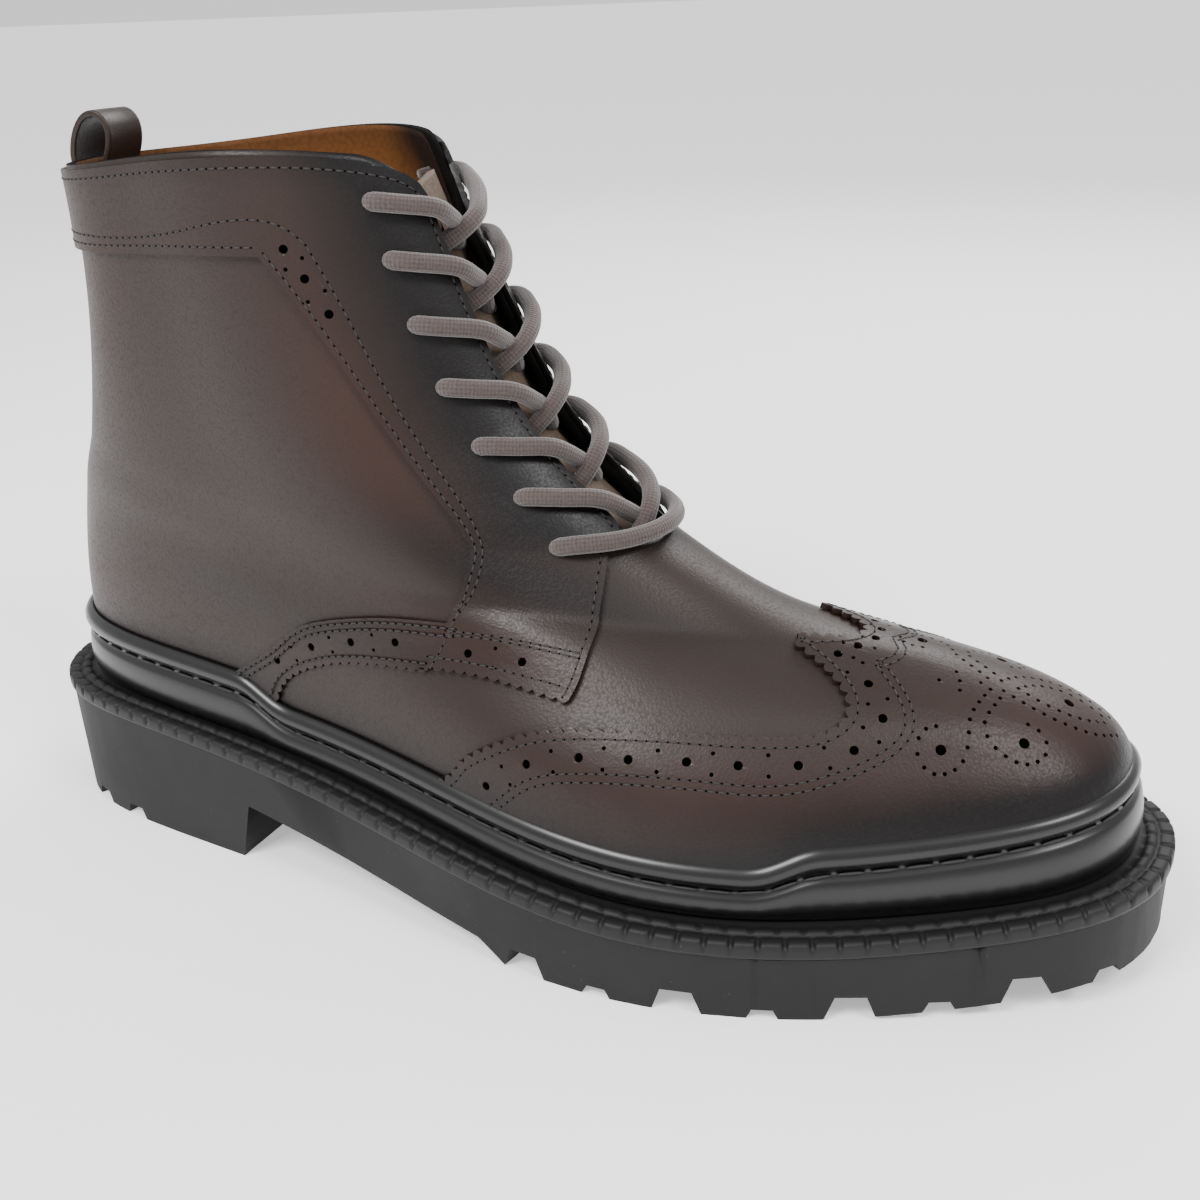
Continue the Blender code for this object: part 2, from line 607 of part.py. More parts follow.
def tube(points, radius, name, finish):
    curve = bpy.data.curves.new(name, "CURVE")
    curve.dimensions = "3D"
    curve.bevel_depth = radius
    curve.bevel_resolution = 1
    curve.use_fill_caps = True
    line = curve.splines.new("POLY")
    line.points.add(len(points) - 1)
    for spot, point in zip(line.points, points):
        spot.co = (*point, 1)
    obj = bpy.data.objects.new(name, curve)
    bpy.context.collection.objects.link(obj)
    mesh = evaluated_mesh(obj)
    bpy.data.objects.remove(obj)
    mesh.materials.append(finish)
    made = bpy.data.objects.new(name, mesh)
    bpy.context.collection.objects.link(made)
    return made


def add_lace(finish):
    """The lace's crossings over the throat: two zigzags up the eyelets and the bar under them."""
    height = PANEL_GAP + OVERLAY + 2 * CLEAR + LACE / 2

    def run(start, rows):
        """Points over the facings and the throat, from side to side and from row to row."""
        share = np.linspace(0, 1, 9)
        points = []
        for k, (row, after) in enumerate(zip(rows[:-1], rows[1:])):
            left = EYELET_COLUMN if (k + start) % 2 == 0 else 1 - EYELET_COLUMN
            t = left + (1 - 2 * left) * share
            v = EYELETS[row] + (EYELETS[after] - EYELETS[row]) * share
            points += list(on_upper(t, v, np.full(t.shape, height))[0 if k == 0 else 1:])
        return points

    upwards = list(range(len(EYELETS) - 1, -1, -1))
    lace = tube(run(0, upwards), LACE / 2, "lace", finish)
    boolean(lace, tube(run(1, upwards), LACE / 2, "second", finish), "UNION")
    boolean(lace, tube(run(0, upwards[:1] * 2), LACE / 2, "bar", finish), "UNION")
    return lace


def add_pull_loop(finish):
    """The leather loop over the collar's back, from outside the band to inside the wall."""
    half = np.linspace(-0.5, 0.5, 5) * LOOP_WIDTH
    collar = upper_point(0.0, 1.0)
    outside = PANEL_GAP + OVERLAY + CLEAR + LOOP_THICK / 2
    inside = -(WALL + 2 * CLEAR + LOOP_THICK / 2)
    middle = []
    for v, height in ((0.90, outside), (0.95, outside), (0.995, outside)):
        middle.append(upper_point(0.0, v) + upper_normal(0.0, v) * height)
    middle += [collar + np.array([x, 0, z]) * MM for x, z in LOOP_PATH]
    for v in (0.985, 0.93):
        middle.append(upper_point(0.0, v) + upper_normal(0.0, v) * inside)
    middle = natural_spline(np.arange(len(middle)), np.array(middle))(np.linspace(0, len(middle) - 1, 20))
    ahead = np.gradient(middle, axis=0)
    ahead /= np.linalg.norm(ahead, axis=1, keepdims=True)
    side = np.stack([-ahead[:, 2], ahead[:, 1], ahead[:, 0]], 1)
    bow = half**2 / (2 * LOOP_BOW)
    shift = np.stack([bow, half, np.zeros(5)], 1)
    top = middle[:, None] + side[:, None] * LOOP_THICK / 2 + shift
    bottom = middle[:, None] - side[:, None] * LOOP_THICK / 2 + shift
    return sheet("pull_loop", top, bottom, finish)


def box_on(name, origin, axes, low, high, finish):
    """A block between two corners, measured along the three given directions."""
    corners = []
    for k in range(8):
        steps = [high[n] if k >> n & 1 else low[n] for n in range(3)]
        corners.append(origin + sum(axis * step for axis, step in zip(axes, steps)))
    faces = [(0, 2, 3, 1), (4, 5, 7, 6), (0, 1, 5, 4), (2, 6, 7, 3), (0, 4, 6, 2), (1, 3, 7, 5)]
    return add_object(name, np.array(corners), faces, finish)


def slider_frame():
    spot = on_upper(ZIP_TOP, SLIDER_LEVEL, 0.0)
    out = upper_normal(column_u(ZIP_TOP, SLIDER_LEVEL), SLIDER_LEVEL)
    up = on_upper(ZIP_TOP, SLIDER_LEVEL + 0.02, 0.0) - spot
    up -= out * (up @ out)
    up /= np.linalg.norm(up)
    return spot, (np.cross(up, out), up, out)


def add_zip(metal, cloth):
    """The closed zip's chain, its slider near the top and the pull tab hinged on it."""
    line = along(ZIP_LINE, 14)
    small = 0.01
    flat = np.zeros(len(line))
    beside = on_upper(line[:, 0] + small, line[:, 1], flat) - on_upper(line[:, 0], line[:, 1], flat)
    half = small * ZIP_WIDTH / 2 / np.linalg.norm(beside, axis=1)
    strip = np.concatenate([line - np.column_stack([half, half * 0]), (line + np.column_stack([half, half * 0]))[::-1]])
    panel("zip_chain", strip, cloth, PANEL_GAP, PANEL_GAP + ZIP_HEIGHT)
    spot, axes = slider_frame()
    wide, tall, thick = SLIDER
    low = PANEL_GAP + CLEAR + ZIP_HEIGHT
    slider = box_on("zip_slider", spot, axes, (-wide / 2, -tall / 2, low), (wide / 2, tall / 2, low + thick), metal)
    ear = PIN
    for side in (-1, 1):
        near = side * (PULL[0] / 2 + 1.5 * CLEAR)
        far = near + side * ear
        corners = sorted((near, far))
        lug = box_on(
            "ear", spot, axes, (corners[0], tall / 2 - 5 * MM, low + thick / 2),
            (corners[1], tall / 2 - 1 * MM, low + thick + 2.6 * MM), metal,
        )
        boolean(slider, lug, "UNION")
    axis_height = low + thick + CLEAR + PULL[2] / 2 + 0.2 * MM
    origin = spot + axes[1] * (tall / 2 - 3 * MM) + axes[2] * axis_height
    pull = box_on(
        "zip_pull", np.zeros(3), axes, (-PULL[0] / 2, -PULL[1], -PULL[2] / 2),
        (PULL[0] / 2, 0.6 * MM, PULL[2] / 2), metal,
    )
    pull.location = origin
    return pull


def main():
    for obj in list(bpy.data.objects):
        bpy.data.objects.remove(obj, do_unlink=True)
    rubber = material("sole_rubber", (0.022, 0.023, 0.025), 0.75)
    welt = material("welt_rubber", (0.03, 0.03, 0.032), 0.7)
    gloss = material("rand_gloss", (0.012, 0.013, 0.015), 0.25)
    leather = material("upper_leather", (0.075, 0.052, 0.045), 0.42)
    dark = material("overlay_leather", (0.062, 0.04, 0.034), 0.4)
    lining = material("insole_leather", (0.28, 0.16, 0.08), 0.7)
    tongue = material("tongue_leather", (0.23, 0.18, 0.14), 0.6)
    cord = material("lace_cord", (0.16, 0.13, 0.115), 0.85)
    metal = material("zip_metal", (0.35, 0.33, 0.3), 0.35, 1.0)
    cloth = material("zip_cloth", (0.03, 0.026, 0.024), 0.8)
    add_outsole(rubber)
    add_welt(welt)
    add_rand(gloss)
    add_upper(leather)
    add_insole(lining)
    add_tongue(tongue)
    add_panels(dark)
    add_lace(cord)
    add_pull_loop(tongue)
    add_zip(metal, cloth)
    edge = sole_edge(np.linspace(0, 1, 721))
    middle = (edge.min(0) + edge.max(0)) / 2
    shift = Vector((-middle[0], -middle[1], 0))
    for obj in bpy.data.objects:
        if obj.name == "zip_pull":
            obj.location += shift
        else:
            obj.data.transform(Matrix.Translation(shift))


if __name__ == "__main__":
    main()
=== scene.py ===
"""The brogue boot dressed for its picture: leather, punched overlays, laces, rubber and light.

Axes as in the model: +X to the toe, -Y to the outer side, +Z up, metres.
"""

import math

import bmesh
import bpy
import numpy as np
from mathutils import Matrix, Vector


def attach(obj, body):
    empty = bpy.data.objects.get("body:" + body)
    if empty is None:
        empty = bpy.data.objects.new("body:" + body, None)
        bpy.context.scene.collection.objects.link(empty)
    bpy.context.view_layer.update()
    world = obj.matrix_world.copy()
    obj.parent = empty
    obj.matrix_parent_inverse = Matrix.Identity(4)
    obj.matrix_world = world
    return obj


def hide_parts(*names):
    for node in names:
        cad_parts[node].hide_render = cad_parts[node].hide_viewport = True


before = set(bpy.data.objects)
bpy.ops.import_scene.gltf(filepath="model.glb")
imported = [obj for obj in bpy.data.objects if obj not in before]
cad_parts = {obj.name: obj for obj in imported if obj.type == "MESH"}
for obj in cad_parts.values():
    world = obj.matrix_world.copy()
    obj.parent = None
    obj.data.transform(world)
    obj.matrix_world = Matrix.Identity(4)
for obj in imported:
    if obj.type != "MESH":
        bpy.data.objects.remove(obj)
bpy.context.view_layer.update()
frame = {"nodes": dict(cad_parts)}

MM = 0.001

# Sizes of the boot, as in its solids
LENGTH = 312 * MM
BALL_WIDTH = 113 * MM
HEEL_HEIGHT = 37 * MM
BALL_HEIGHT = 21.5 * MM
TOE_SPRING = 8 * MM
SHAFT_HEIGHT = 142 * MM
INSTEP = 68 * MM
WALL = 2.4 * MM
COLLAR_ARCH = 4.5 * MM
STATIONS = (0.14, 0.40, 0.64, 0.88)
SOLE_OUTER = (0.880, 0.363, 0.478, 0.586, 0.385, 0.800)
SOLE_INNER = (0.760, 0.363, 0.300, 0.414, 0.350, 0.740)
TOP_ALONG = (0.0, 0.19, 0.40, 0.64, 0.84, 1.0)
TOP_FALL = (0.0, 0.09, 0.49, 1.0, 1.0, 1.0)
TOP_SPRING = (0.0, 0.0, 0.0, 0.0, 0.05, 0.80)
LOOP_COLUMNS = (
    "back", "back_rise", "front", "front_rise", "front_side", "follow", "arch",
    "back_round", "heel_outer", "waist_outer", "ball_outer", "toe_outer", "front_round",
    "heel_inner", "waist_inner", "ball_inner", "toe_inner", "front_round_inner", "gap_outer", "gap_inner",
)
LOOP_ROWS = (
    (
        .031, .002, .964, .006, 0.0, 1.0, 0.0, .64, .29, .387,
        .493, .31, .64, .27, .212, .31, .262, .64, .0885, .0885,
    ),
    (
        .028, .063, .966, .159, 0.0, 1.0, 0.0, .64, .292, .389,
        .496, .317, .64, .276, .23, .319, .268, .64, .0885, .0885,
    ),
    (
        .028, .148, .957, .335, 0.0, .85, 0.0, .635, .29, .385,
        .478, .293, .59, .28, .255, .322, .262, .59, .0885, .0885,
    ),
    (
        .031, .232, .936, .447, 0.0, 0.6, 0.0, .62, .29, .372,
        .434, .256, .47, .28, .275, 0.3, .225, .47, .0885, .0885,
    ),
    (
        .037, .317, .897, .56, -.01, .35, 0.0, .59, .286, .354,
        .366, .208, .36, .278, .285, .262, .172, .36, .0885, .0885,
    ),
    (
        .044, .387, .82, .697, -.03, .15, 0.0, .55, .28, .337,
        .318, .135, .19, .274, .29, .24, .108, .19, .0885, .0885,
    ),
    (
        .05, .437, .72, .803, -.045, .05, 0.0, 0.5, .274, .327,
        .312, .165, .225, .27, .298, .256, .146, .225, .0885, .0885,
    ),
    (
        .059, .486, .642, .95, -.053, 0.0, 0.0, .46, .267, .325,
        .315, .18, .32, .265, .305, .28, .17, .32, .0885, .0885,
    ),
    (
        .065, .528, .594, 1.07, -.053, 0.0, 0.1, .436, .262, .324,
        .32, .186, .35, .261, .31, .292, .18, .35, .0885, .0885,
    ),
    (
        .077, .634, .526, 1.31, -.049, 0.0, 0.3, .398, .254, .317,
        .322, .186, .345, .252, .31, .305, .186, .345, .0885, .08,
    ),
    (
        .088, .768, .479, 1.63, -.044, 0.0, 0.6, .369, .248, .31,
        .319, .19, .34, .248, .31, .308, .19, .33, .0885, .06,
    ),
    (
        .092, .901, .45, 1.91, -.048, 0.0, 0.9, .35, .243, .305,
        .314, .195, .34, .243, .305, .31, .195, .12, .08, .045,
    ),
    (
        .092, .998, .431, 2.13, -.056, 0.0, 1.0, .342, .243, .305,
        .314, .199, .34, .243, .305, .31, .199, .075, .068, .035,
    ),
)
THROAT_LEVEL = 8 / 12
GAP_START = 26 / 56
THROAT_FOOT = 9 / 14

# Heights over the upper's outer face
SKIN = 0.15 * MM
TOP_SKIN = 1.55 * MM


def natural_spline(knots, values):
    """The natural cubic spline through the values, which may be rows, as a function."""
    knots = np.asarray(knots, float)
    values = np.asarray(values, float)
    steps = np.diff(knots)
    count = len(knots)
    matrix = np.eye(count)
    right = np.zeros(values.shape)
    for i in range(1, count - 1):
        matrix[i, i - 1: i + 2] = steps[i - 1], 2 * (steps[i - 1] + steps[i]), steps[i]
        right[i] = 6 * ((values[i + 1] - values[i]) / steps[i] - (values[i] - values[i - 1]) / steps[i - 1])
    bends = np.linalg.solve(matrix, right)

    def at(where):
        where = np.asarray(where, float)
        i = np.clip(np.searchsorted(knots, where) - 1, 0, count - 2)
        a = (knots[i + 1] - where) / steps[i]
        step = steps[i]
        if values.ndim > 1:
            a = a[..., None]
            step = step[..., None]
        b = 1 - a
        bend = ((a**3 - a) * bends[i] + (b**3 - b) * bends[i + 1]) * step**2 / 6
        return a * values[i] + b * values[i + 1] + bend

    return at


TURNS = np.array([0.0] + [math.acos(1 - 2 * share) for share in STATIONS] + [math.pi])
TURN_SCALE = np.array([1.0] + [1 / math.sin(turn) for turn in TURNS[1:-1]] + [1.0])
TURN_BASIS = natural_spline(TURNS, np.eye(len(TURNS)))
LOOPS = natural_spline(np.linspace(0, 1, len(LOOP_ROWS)), LOOP_ROWS)
TOP_FALL_AT = natural_spline(TOP_ALONG, TOP_FALL)
TOP_SPRING_AT = natural_spline(TOP_ALONG, TOP_SPRING)


def half_width(turn, widths):
    return np.sin(turn) * (TURN_BASIS(turn) * (np.asarray(widths) * TURN_SCALE)).sum(-1)


def sole_top(x):
    along = np.clip(x / LENGTH, 0, 1)
    fall = (HEEL_HEIGHT - BALL_HEIGHT) * TOP_FALL_AT(along)
    return HEEL_HEIGHT - fall + TOE_SPRING * TOP_SPRING_AT(along)


def fold(u):
    u = np.mod(u, 1.0)
    return 2 * math.pi * np.minimum(u, 1 - u), u > 0.5


def sole_edge(u, inset=0.0):
    """x and y of the sole's outline, moved inwards by inset."""
    def edge(where):
        turn, inner = fold(where)
        outer_y = -half_width(turn, SOLE_OUTER) * BALL_WIDTH
        inner_y = half_width(turn, SOLE_INNER) * BALL_WIDTH
        return np.stack([LENGTH * (1 - np.cos(turn)) / 2, np.where(inner, inner_y, outer_y)], -1)

    u = np.asarray(u, float)
    small = 1e-4
    along = edge(u + small) - edge(u - small)
    along /= np.linalg.norm(along, axis=-1, keepdims=True)
    inwards = np.stack([-along[..., 1], along[..., 0]], -1)
    return edge(u) + np.asarray(inset, float)[..., None] * inwards


def upper_point(u, v):
    """The upper's outer face, u round the boot from the back and v from the welt to the collar."""
    u, v = np.broadcast_arrays(np.asarray(u, float), np.asarray(v, float))
    row = dict(zip(LOOP_COLUMNS, np.moveaxis(LOOPS(v), -1, 0)))
    turn, inner = fold(u)
    share = (1 - np.cos(turn)) / 2
    widths = {}
    for side, front in (("outer", "front_round"), ("inner", "front_round_inner")):
        names = ("back_round", "heel_" + side, "waist_" + side, "ball_" + side, "toe_" + side, front)
        widths[side] = half_width(turn, np.stack([row[name] for name in names], -1))
    middle = row["front_side"] * share**2 * (3 - 2 * share)
    y = (middle + np.where(inner, widths["inner"], -widths["outer"])) * BALL_WIDTH
    back = row["back"] * LENGTH
    front = row["front"] * LENGTH
    x = back + (front - back) * share
    low = np.minimum(row["front_rise"], 1) * INSTEP
    high = np.maximum(row["front_rise"] - 1, 0) * (SHAFT_HEIGHT - INSTEP)
    back_z = sole_top(back) + row["back_rise"] * SHAFT_HEIGHT
    front_z = sole_top(front) + low + high
    chord = sole_top(back) + (sole_top(front) - sole_top(back)) * share
    arch = COLLAR_ARCH * row["arch"] * 6.75 * share**2 * (1 - share)
    z = back_z + (front_z - back_z) * share + row["follow"] * (sole_top(x) - chord) + arch
    return np.stack([x, y, z], -1)


def upper_normal(u, v):
    small = 1e-3
    low = np.clip(np.asarray(v, float) - small, 0, 1)
    high = np.clip(np.asarray(v, float) + small, 0, 1)
    across = upper_point(u + small, v) - upper_point(u - small, v)
    up = upper_point(u, high) - upper_point(u, low)
    normal = np.cross(across, up)
    return normal / np.linalg.norm(normal, axis=-1, keepdims=True)


def column_u(t, v):
    """u of a place t round the boot: GAP_START and 1 - GAP_START run along the throat's edges."""
    t, v = np.broadcast_arrays(np.asarray(t, float), np.asarray(v, float))
    row = dict(zip(LOOP_COLUMNS, np.moveaxis(LOOPS(np.maximum(v, THROAT_LEVEL)), -1, 0)))
    u = t
    ends = ((False, "gap_outer", "front_round"), (True, "gap_inner", "front_round_inner"))
    for inner, gap, round_end in ends:
        half_gap = np.arcsin(row[gap] / row[round_end]) / (2 * math.pi)
        near = 1 - t if inner else t
        on_side = near * (0.5 - half_gap) / GAP_START
        in_gap = 0.5 - (0.5 - near) * half_gap / (0.5 - GAP_START)
        place = np.where(near < GAP_START, on_side, in_gap)
        u = np.where((t > 0.5) == inner, 1 - place if inner else place, u)
    return u


edge_round = sole_edge(np.linspace(0, 1, 721))
SHIFT = np.array([*-(edge_round.min(0) + edge_round.max(0)) / 2, 0])


def on_boot(t, v, height=0.0):
    """A point at a height over the upper's outer face, t round the boot and v from welt to collar."""
    t, v, height = np.broadcast_arrays(*(np.asarray(one, float) for one in (t, v, height)))
    u = column_u(t, v)
    return upper_point(u, v) + upper_normal(u, v) * height[..., None] + SHIFT


def slopes(t, v):
    """How the face runs with t and with v, in metres, and its outward normal."""
    small = 5e-4
    with_t = (on_boot(t + small, v) - on_boot(t - small, v)) / (2 * small)
    low = np.clip(v - small, 0, 1)
    high = np.clip(v + small, 0, 1)
    with_v = (on_boot(t, high) - on_boot(t, low)) / (high - low)[..., None]
    normal = np.cross(with_t, with_v)
    return with_t, with_v, normal / np.linalg.norm(normal, axis=-1, keepdims=True)


def step_by(line, towards):
    """Places (t, v) moved by vectors that lie along the face."""
    with_t, with_v, _ = slopes(line[:, 0], line[:, 1])
    tt = (with_t * with_t).sum(1)
    vv = (with_v * with_v).sum(1)
    tv = (with_t * with_v).sum(1)
    a = (with_t * towards).sum(1)
    b = (with_v * towards).sum(1)
    size = tt * vv - tv * tv
    return line + np.column_stack([(a * vv - b * tv) / size, (b * tt - a * tv) / size])


def sideways(line, distance):
    """The line moved to its left, seen from outside, by a real distance."""
    line = np.asarray(line, float)
    spots = on_boot(line[:, 0], line[:, 1])
    ahead = np.gradient(spots, axis=0)
    ahead /= np.linalg.norm(ahead, axis=1, keepdims=True)
    left = np.cross(slopes(line[:, 0], line[:, 1])[2], ahead)
    return step_by(line, left * np.reshape(distance, (-1, 1)))


def run_along(points):
    """The distance from a line's start to each of its points."""
    return np.concatenate([[0], np.cumsum(np.linalg.norm(np.diff(points, axis=0), axis=1))])


def resampled(run, line, where):
    """A line's places at the given runs along it."""
    return np.column_stack([np.interp(where, run, line[:, 0]), np.interp(where, run, line[:, 1])])


def smooth_line(points, count=120):
    """Closely set places on the natural spline through the given ones."""
    points = np.asarray(points, float)
    steps = run_along(points)
    return natural_spline(steps, points)(np.linspace(0, steps[-1], count))


def paced(line, pitch):
    """Places at even real distances along a line."""
    line = np.asarray(line, float)
    spots = on_boot(line[:, 0], line[:, 1])
    run = run_along(spots)
    count = max(int(round(run[-1] / pitch)), 1)
    return resampled(run, line, np.linspace(0, run[-1], count + 1))


def pinked(line, pitch=3.1 * MM, depth=1.3 * MM):
    """The line with the toothed edge of pinking shears, its teeth to the left."""
    fine = paced(line, pitch / 4)
    height = depth * np.resize([0.0, 0.75, 1.0, 0.75], len(fine))
    return sideways(fine, height)


def inner_side(line):
    line = np.asarray(line, float)
    return np.column_stack([1 - line[:, 0], line[:, 1]])


# Seams and edges on the upper, places t round it and v up it; the inner side mirrors them.
RAND_TOP = ((0.0, .154), (.172, .147), (.186, .110), (.250, .113), (.338, .104), (.352, .133), (.50, .156))
FACING_FRONT = (
    (.4622, .945), (.4625, .86), (.4625, .75), (.4625, .685), (.458, .665),
    (.443, .650), (.414, .604), (.361, .507), (.311, .389), (.293, .305),
)
FACING_BACK = (
    (.248, .300), (.259, .361), (.282, .446), (.323, .554), (.341, .611), (.348, .661), (.350, .711),
    (.348, .757), (.336, .821), (.322, .862), (.311, .889),
)
SECOND_SEAM = (
    (.3445, .900), (.354, .854), (.362, .782), (.364, .736), (.357, .661), (.339, .582), (.293, .468),
    (.273, .411),
)
BAND_SEAM = ((.004, .907), (.141, .907), (.25, .911), (.335, .914), (.3445, .900))
FACING_HOLES = ((.329, .896), (.337, .871), (.345, .843))
TAB_HOLES = ((.266, .345), (.284, .352))
QUARTER_HOLES = ((.188, .200), (.204, .257), (.221, .296), (.239, .325))
TAB_FOOT = ((.293, .305), (.270, .314), (.243, .293))
QUARTER_TOP = ((.168, .146), (.187, .225), (.205, .304), (.225, .346), (.250, .382), (.272, .402))
QUARTER_LOW = ((.248, .293), (.232, .275), (.216, .250), (.202, .214), (.189, .161), (.184, .120))
WING_EDGE = (
    (.2455, .100), (.250, .118), (.255, .150), (.266, .196), (.277, .232), (.296, .264), (.323, .279),
    (.345, .281), (.359, .286), (.371, .302), (.380, .325), (.387, .354), (.393, .393), (.405, .432),
    (.424, .458),
)
WING_PEAK = ((.424, .458), (.445, .457), (.470, .458), (.490, .459), (.500, .459))
WING_SEAM = (
    (.262, .100), (.271, .146), (.280, .179), (.295, .204), (.309, .214), (.327, .216), (.343, .213),
    (.361, .229), (.380, .264), (.395, .304), (.405, .345), (.413, .380), (.420, .402),
)
WING_SEAM_PEAK = ((.420, .402), (.448, .418), (.474, .433), (.492, .442), (.500, .444))
WING_HOLES = (
    (.263, .136), (.277, .193), (.293, .225), (.307, .236), (.323, .243), (.337, .243), (.354, .246),
    (.373, .271), (.391, .321), (.400, .368), (.411, .415), (.443, .437), (.482, .450),
)
EYELETS = (.946, .889, .836, .789, .744, .700, .632)
EYELET_COLUMN = .402
LAST_EYELET_COLUMN = .392
LACE = 4.4 * MM
ZIP_GAP = .014
ZIP_LINE = ((.781, .985), (.781, .90), (.789, .75), (.800, .60), (.812, .45), (.819, .33))


def inner_hole(hole):
    """The same hole on the inner side."""
    place, radius = hole
    return np.array([1 - place[0], place[1]]), radius


def rand_top(t):
    near = np.minimum(np.mod(t, 1), 1 - np.mod(t, 1))
    reach = 0.004 * np.linspace(-1, 1, 9)
    spread = np.abs(near[..., None] + reach)
    spread = np.minimum(spread, 1 - spread)
    return np.interp(spread, *np.array(RAND_TOP).T).mean(-1)


# Materials

def linear(r, g, b):
    """A colour of the screen, from 0 to 255, as light."""
    return tuple(((c / 255 + 0.055) / 1.055) ** 2.4 if c > 10 else c / 255 / 12.92 for c in (r, g, b))


def add_node(tree, kind, **values):
    node = tree.nodes.new("ShaderNode" + kind)
    for name, value in values.items():
        if hasattr(node, name):
            setattr(node, name, value)
        else:
            node.inputs[name.replace("_", " ").title()].default_value = value
    return node


def new_group(name, inputs, outputs):
    """An empty node group with its named sockets, and its input and output nodes."""
    group = bpy.data.node_groups.new(name, "ShaderNodeTree")
    for label, kind, value in inputs:
        socket = group.interface.new_socket(name=label, in_out="INPUT", socket_type="NodeSocket" + kind)
        if value is not None:
            socket.default_value = value
    for label, kind in outputs:
        group.interface.new_socket(name=label, in_out="OUTPUT", socket_type="NodeSocket" + kind)
    start = group.nodes.new("NodeGroupInput")
    end = group.nodes.new("NodeGroupOutput")
    return group, start, end


def texture(tree, kind, place, **values):
    """A texture node that reads the places."""
    node = add_node(tree, "Tex" + kind, **values)
    tree.links.new(place, node.inputs["Vector"])
    return node


def graded(tree, value, stops):
    """The value sent through a ramp of greys."""
    node = tree.nodes.new("ShaderNodeValToRGB")
    band = node.color_ramp
    while len(band.elements) < len(stops):
        band.elements.new(0.5)
    for element, (place, grey) in zip(band.elements, stops):
        element.position = place
        element.color = (grey, grey, grey, 1)
    tree.links.new(value, node.inputs["Fac"])
    return node.outputs["Color"]


def math_node(tree, operation, *terms):
    node = tree.nodes.new("ShaderNodeMath")
    node.operation = operation
    for k, value in enumerate(terms):
        if isinstance(value, (int, float)):
            node.inputs[k].default_value = value
        else:
            tree.links.new(value, node.inputs[k])
    return node.outputs[0]


def times(tree, first, second):
    return math_node(tree, "MULTIPLY", first, second)


def plus(tree, first, second):
    return math_node(tree, "ADD", first, second)


def mix_colour(tree, factor, first, second):
    node = tree.nodes.new("ShaderNodeMix")
    node.data_type = "RGBA"
    for name, value in (("Factor", factor), ("A", first), ("B", second)):
        socket = node.inputs[name]
        if isinstance(value, (int, float)):
            socket.default_value = value
        elif isinstance(value, tuple):
            socket.default_value = (*value, 1)
        else:
            tree.links.new(value, socket)
    return node.outputs["Result"]


def build_leather_grain():
    """Pebbled leather: fine cells with soft valleys, a slow swell, and cloudy patches."""
    group, start, end = new_group(
        "leather_grain",
        (("Coordinates", "Vector", None), ("Cell", "Float", 1500.0), ("Cloud", "Float", 16.0)),
        (("Height", "Float"), ("Patches", "Float"), ("Pores", "Float")),
    )
    place = start.outputs["Coordinates"]
    cells = texture(group, "Voronoi", place, feature="SMOOTH_F1", Smoothness=0.6)
    group.links.new(start.outputs["Cell"], cells.inputs["Scale"])
    swell = texture(group, "Noise", place, Scale=420.0, Detail=4.0, Roughness=0.6)
    cloud = texture(group, "Noise", place, Detail=5.0, Roughness=0.62)
    group.links.new(start.outputs["Cloud"], cloud.inputs["Scale"])
    pebbles = times(group, cells.outputs["Distance"], -0.8)
    height = plus(group, pebbles, times(group, swell.outputs["Fac"], 0.9))
    group.links.new(height, end.inputs["Height"])
    patches = graded(group, cloud.outputs["Fac"], ((0.36, 0.0), (0.66, 1.0)))
    group.links.new(patches, end.inputs["Patches"])
    pores = graded(group, cells.outputs["Distance"], ((0.35, 0.0), (0.75, 1.0)))
    group.links.new(pores, end.inputs["Pores"])
    return group


def build_rubber_dust():
    """Moulded rubber: fine tooth, faint flow marks and pale specks of dust."""
    group, start, end = new_group(
        "rubber_dust",
        (("Coordinates", "Vector", None), ("Tooth", "Float", 1500.0)),
        (("Height", "Float"), ("Haze", "Float"), ("Specks", "Float")),
    )
    place = start.outputs["Coordinates"]
    tooth = texture(group, "Noise", place, Detail=3.0, Roughness=0.7)
    group.links.new(start.outputs["Tooth"], tooth.inputs["Scale"])
    haze = texture(group, "Noise", place, Scale=34.0, Detail=6.0, Roughness=0.65)
    dots = texture(group, "Voronoi", place, Scale=260.0)
    specks = graded(group, dots.outputs["Distance"], ((0.0, 1.0), (0.075, 0.0)))
    group.links.new(tooth.outputs["Fac"], end.inputs["Height"])
    group.links.new(haze.outputs["Fac"], end.inputs["Haze"])
    group.links.new(specks, end.inputs["Specks"])
    return group


GRAIN = build_leather_grain()
DUST = build_rubber_dust()


def new_material(name):
    made = bpy.data.materials.new(name)
    made.use_nodes = True
    tree = made.node_tree
    shader = tree.nodes["Principled BSDF"]
    place = tree.nodes.new("ShaderNodeTexCoord").outputs["Object"]
    return made, tree, shader, place


def use_group(tree, group, place, **values):
    node = tree.nodes.new("ShaderNodeGroup")
    node.node_tree = group
    tree.links.new(place, node.inputs["Coordinates"])
    for name, value in values.items():
        node.inputs[name].default_value = value
    return node


def add_bump(tree, shader, height, strength, distance):
    bump = tree.nodes.new("ShaderNodeBump")
    bump.inputs["Strength"].default_value = strength
    bump.inputs["Distance"].default_value = distance
    tree.links.new(height, bump.inputs["Height"])
    tree.links.new(bump.outputs["Normal"], shader.inputs["Normal"])


def set_sockets(shader, values):
    for name, value in values.items():
        shader.inputs[name].default_value = value


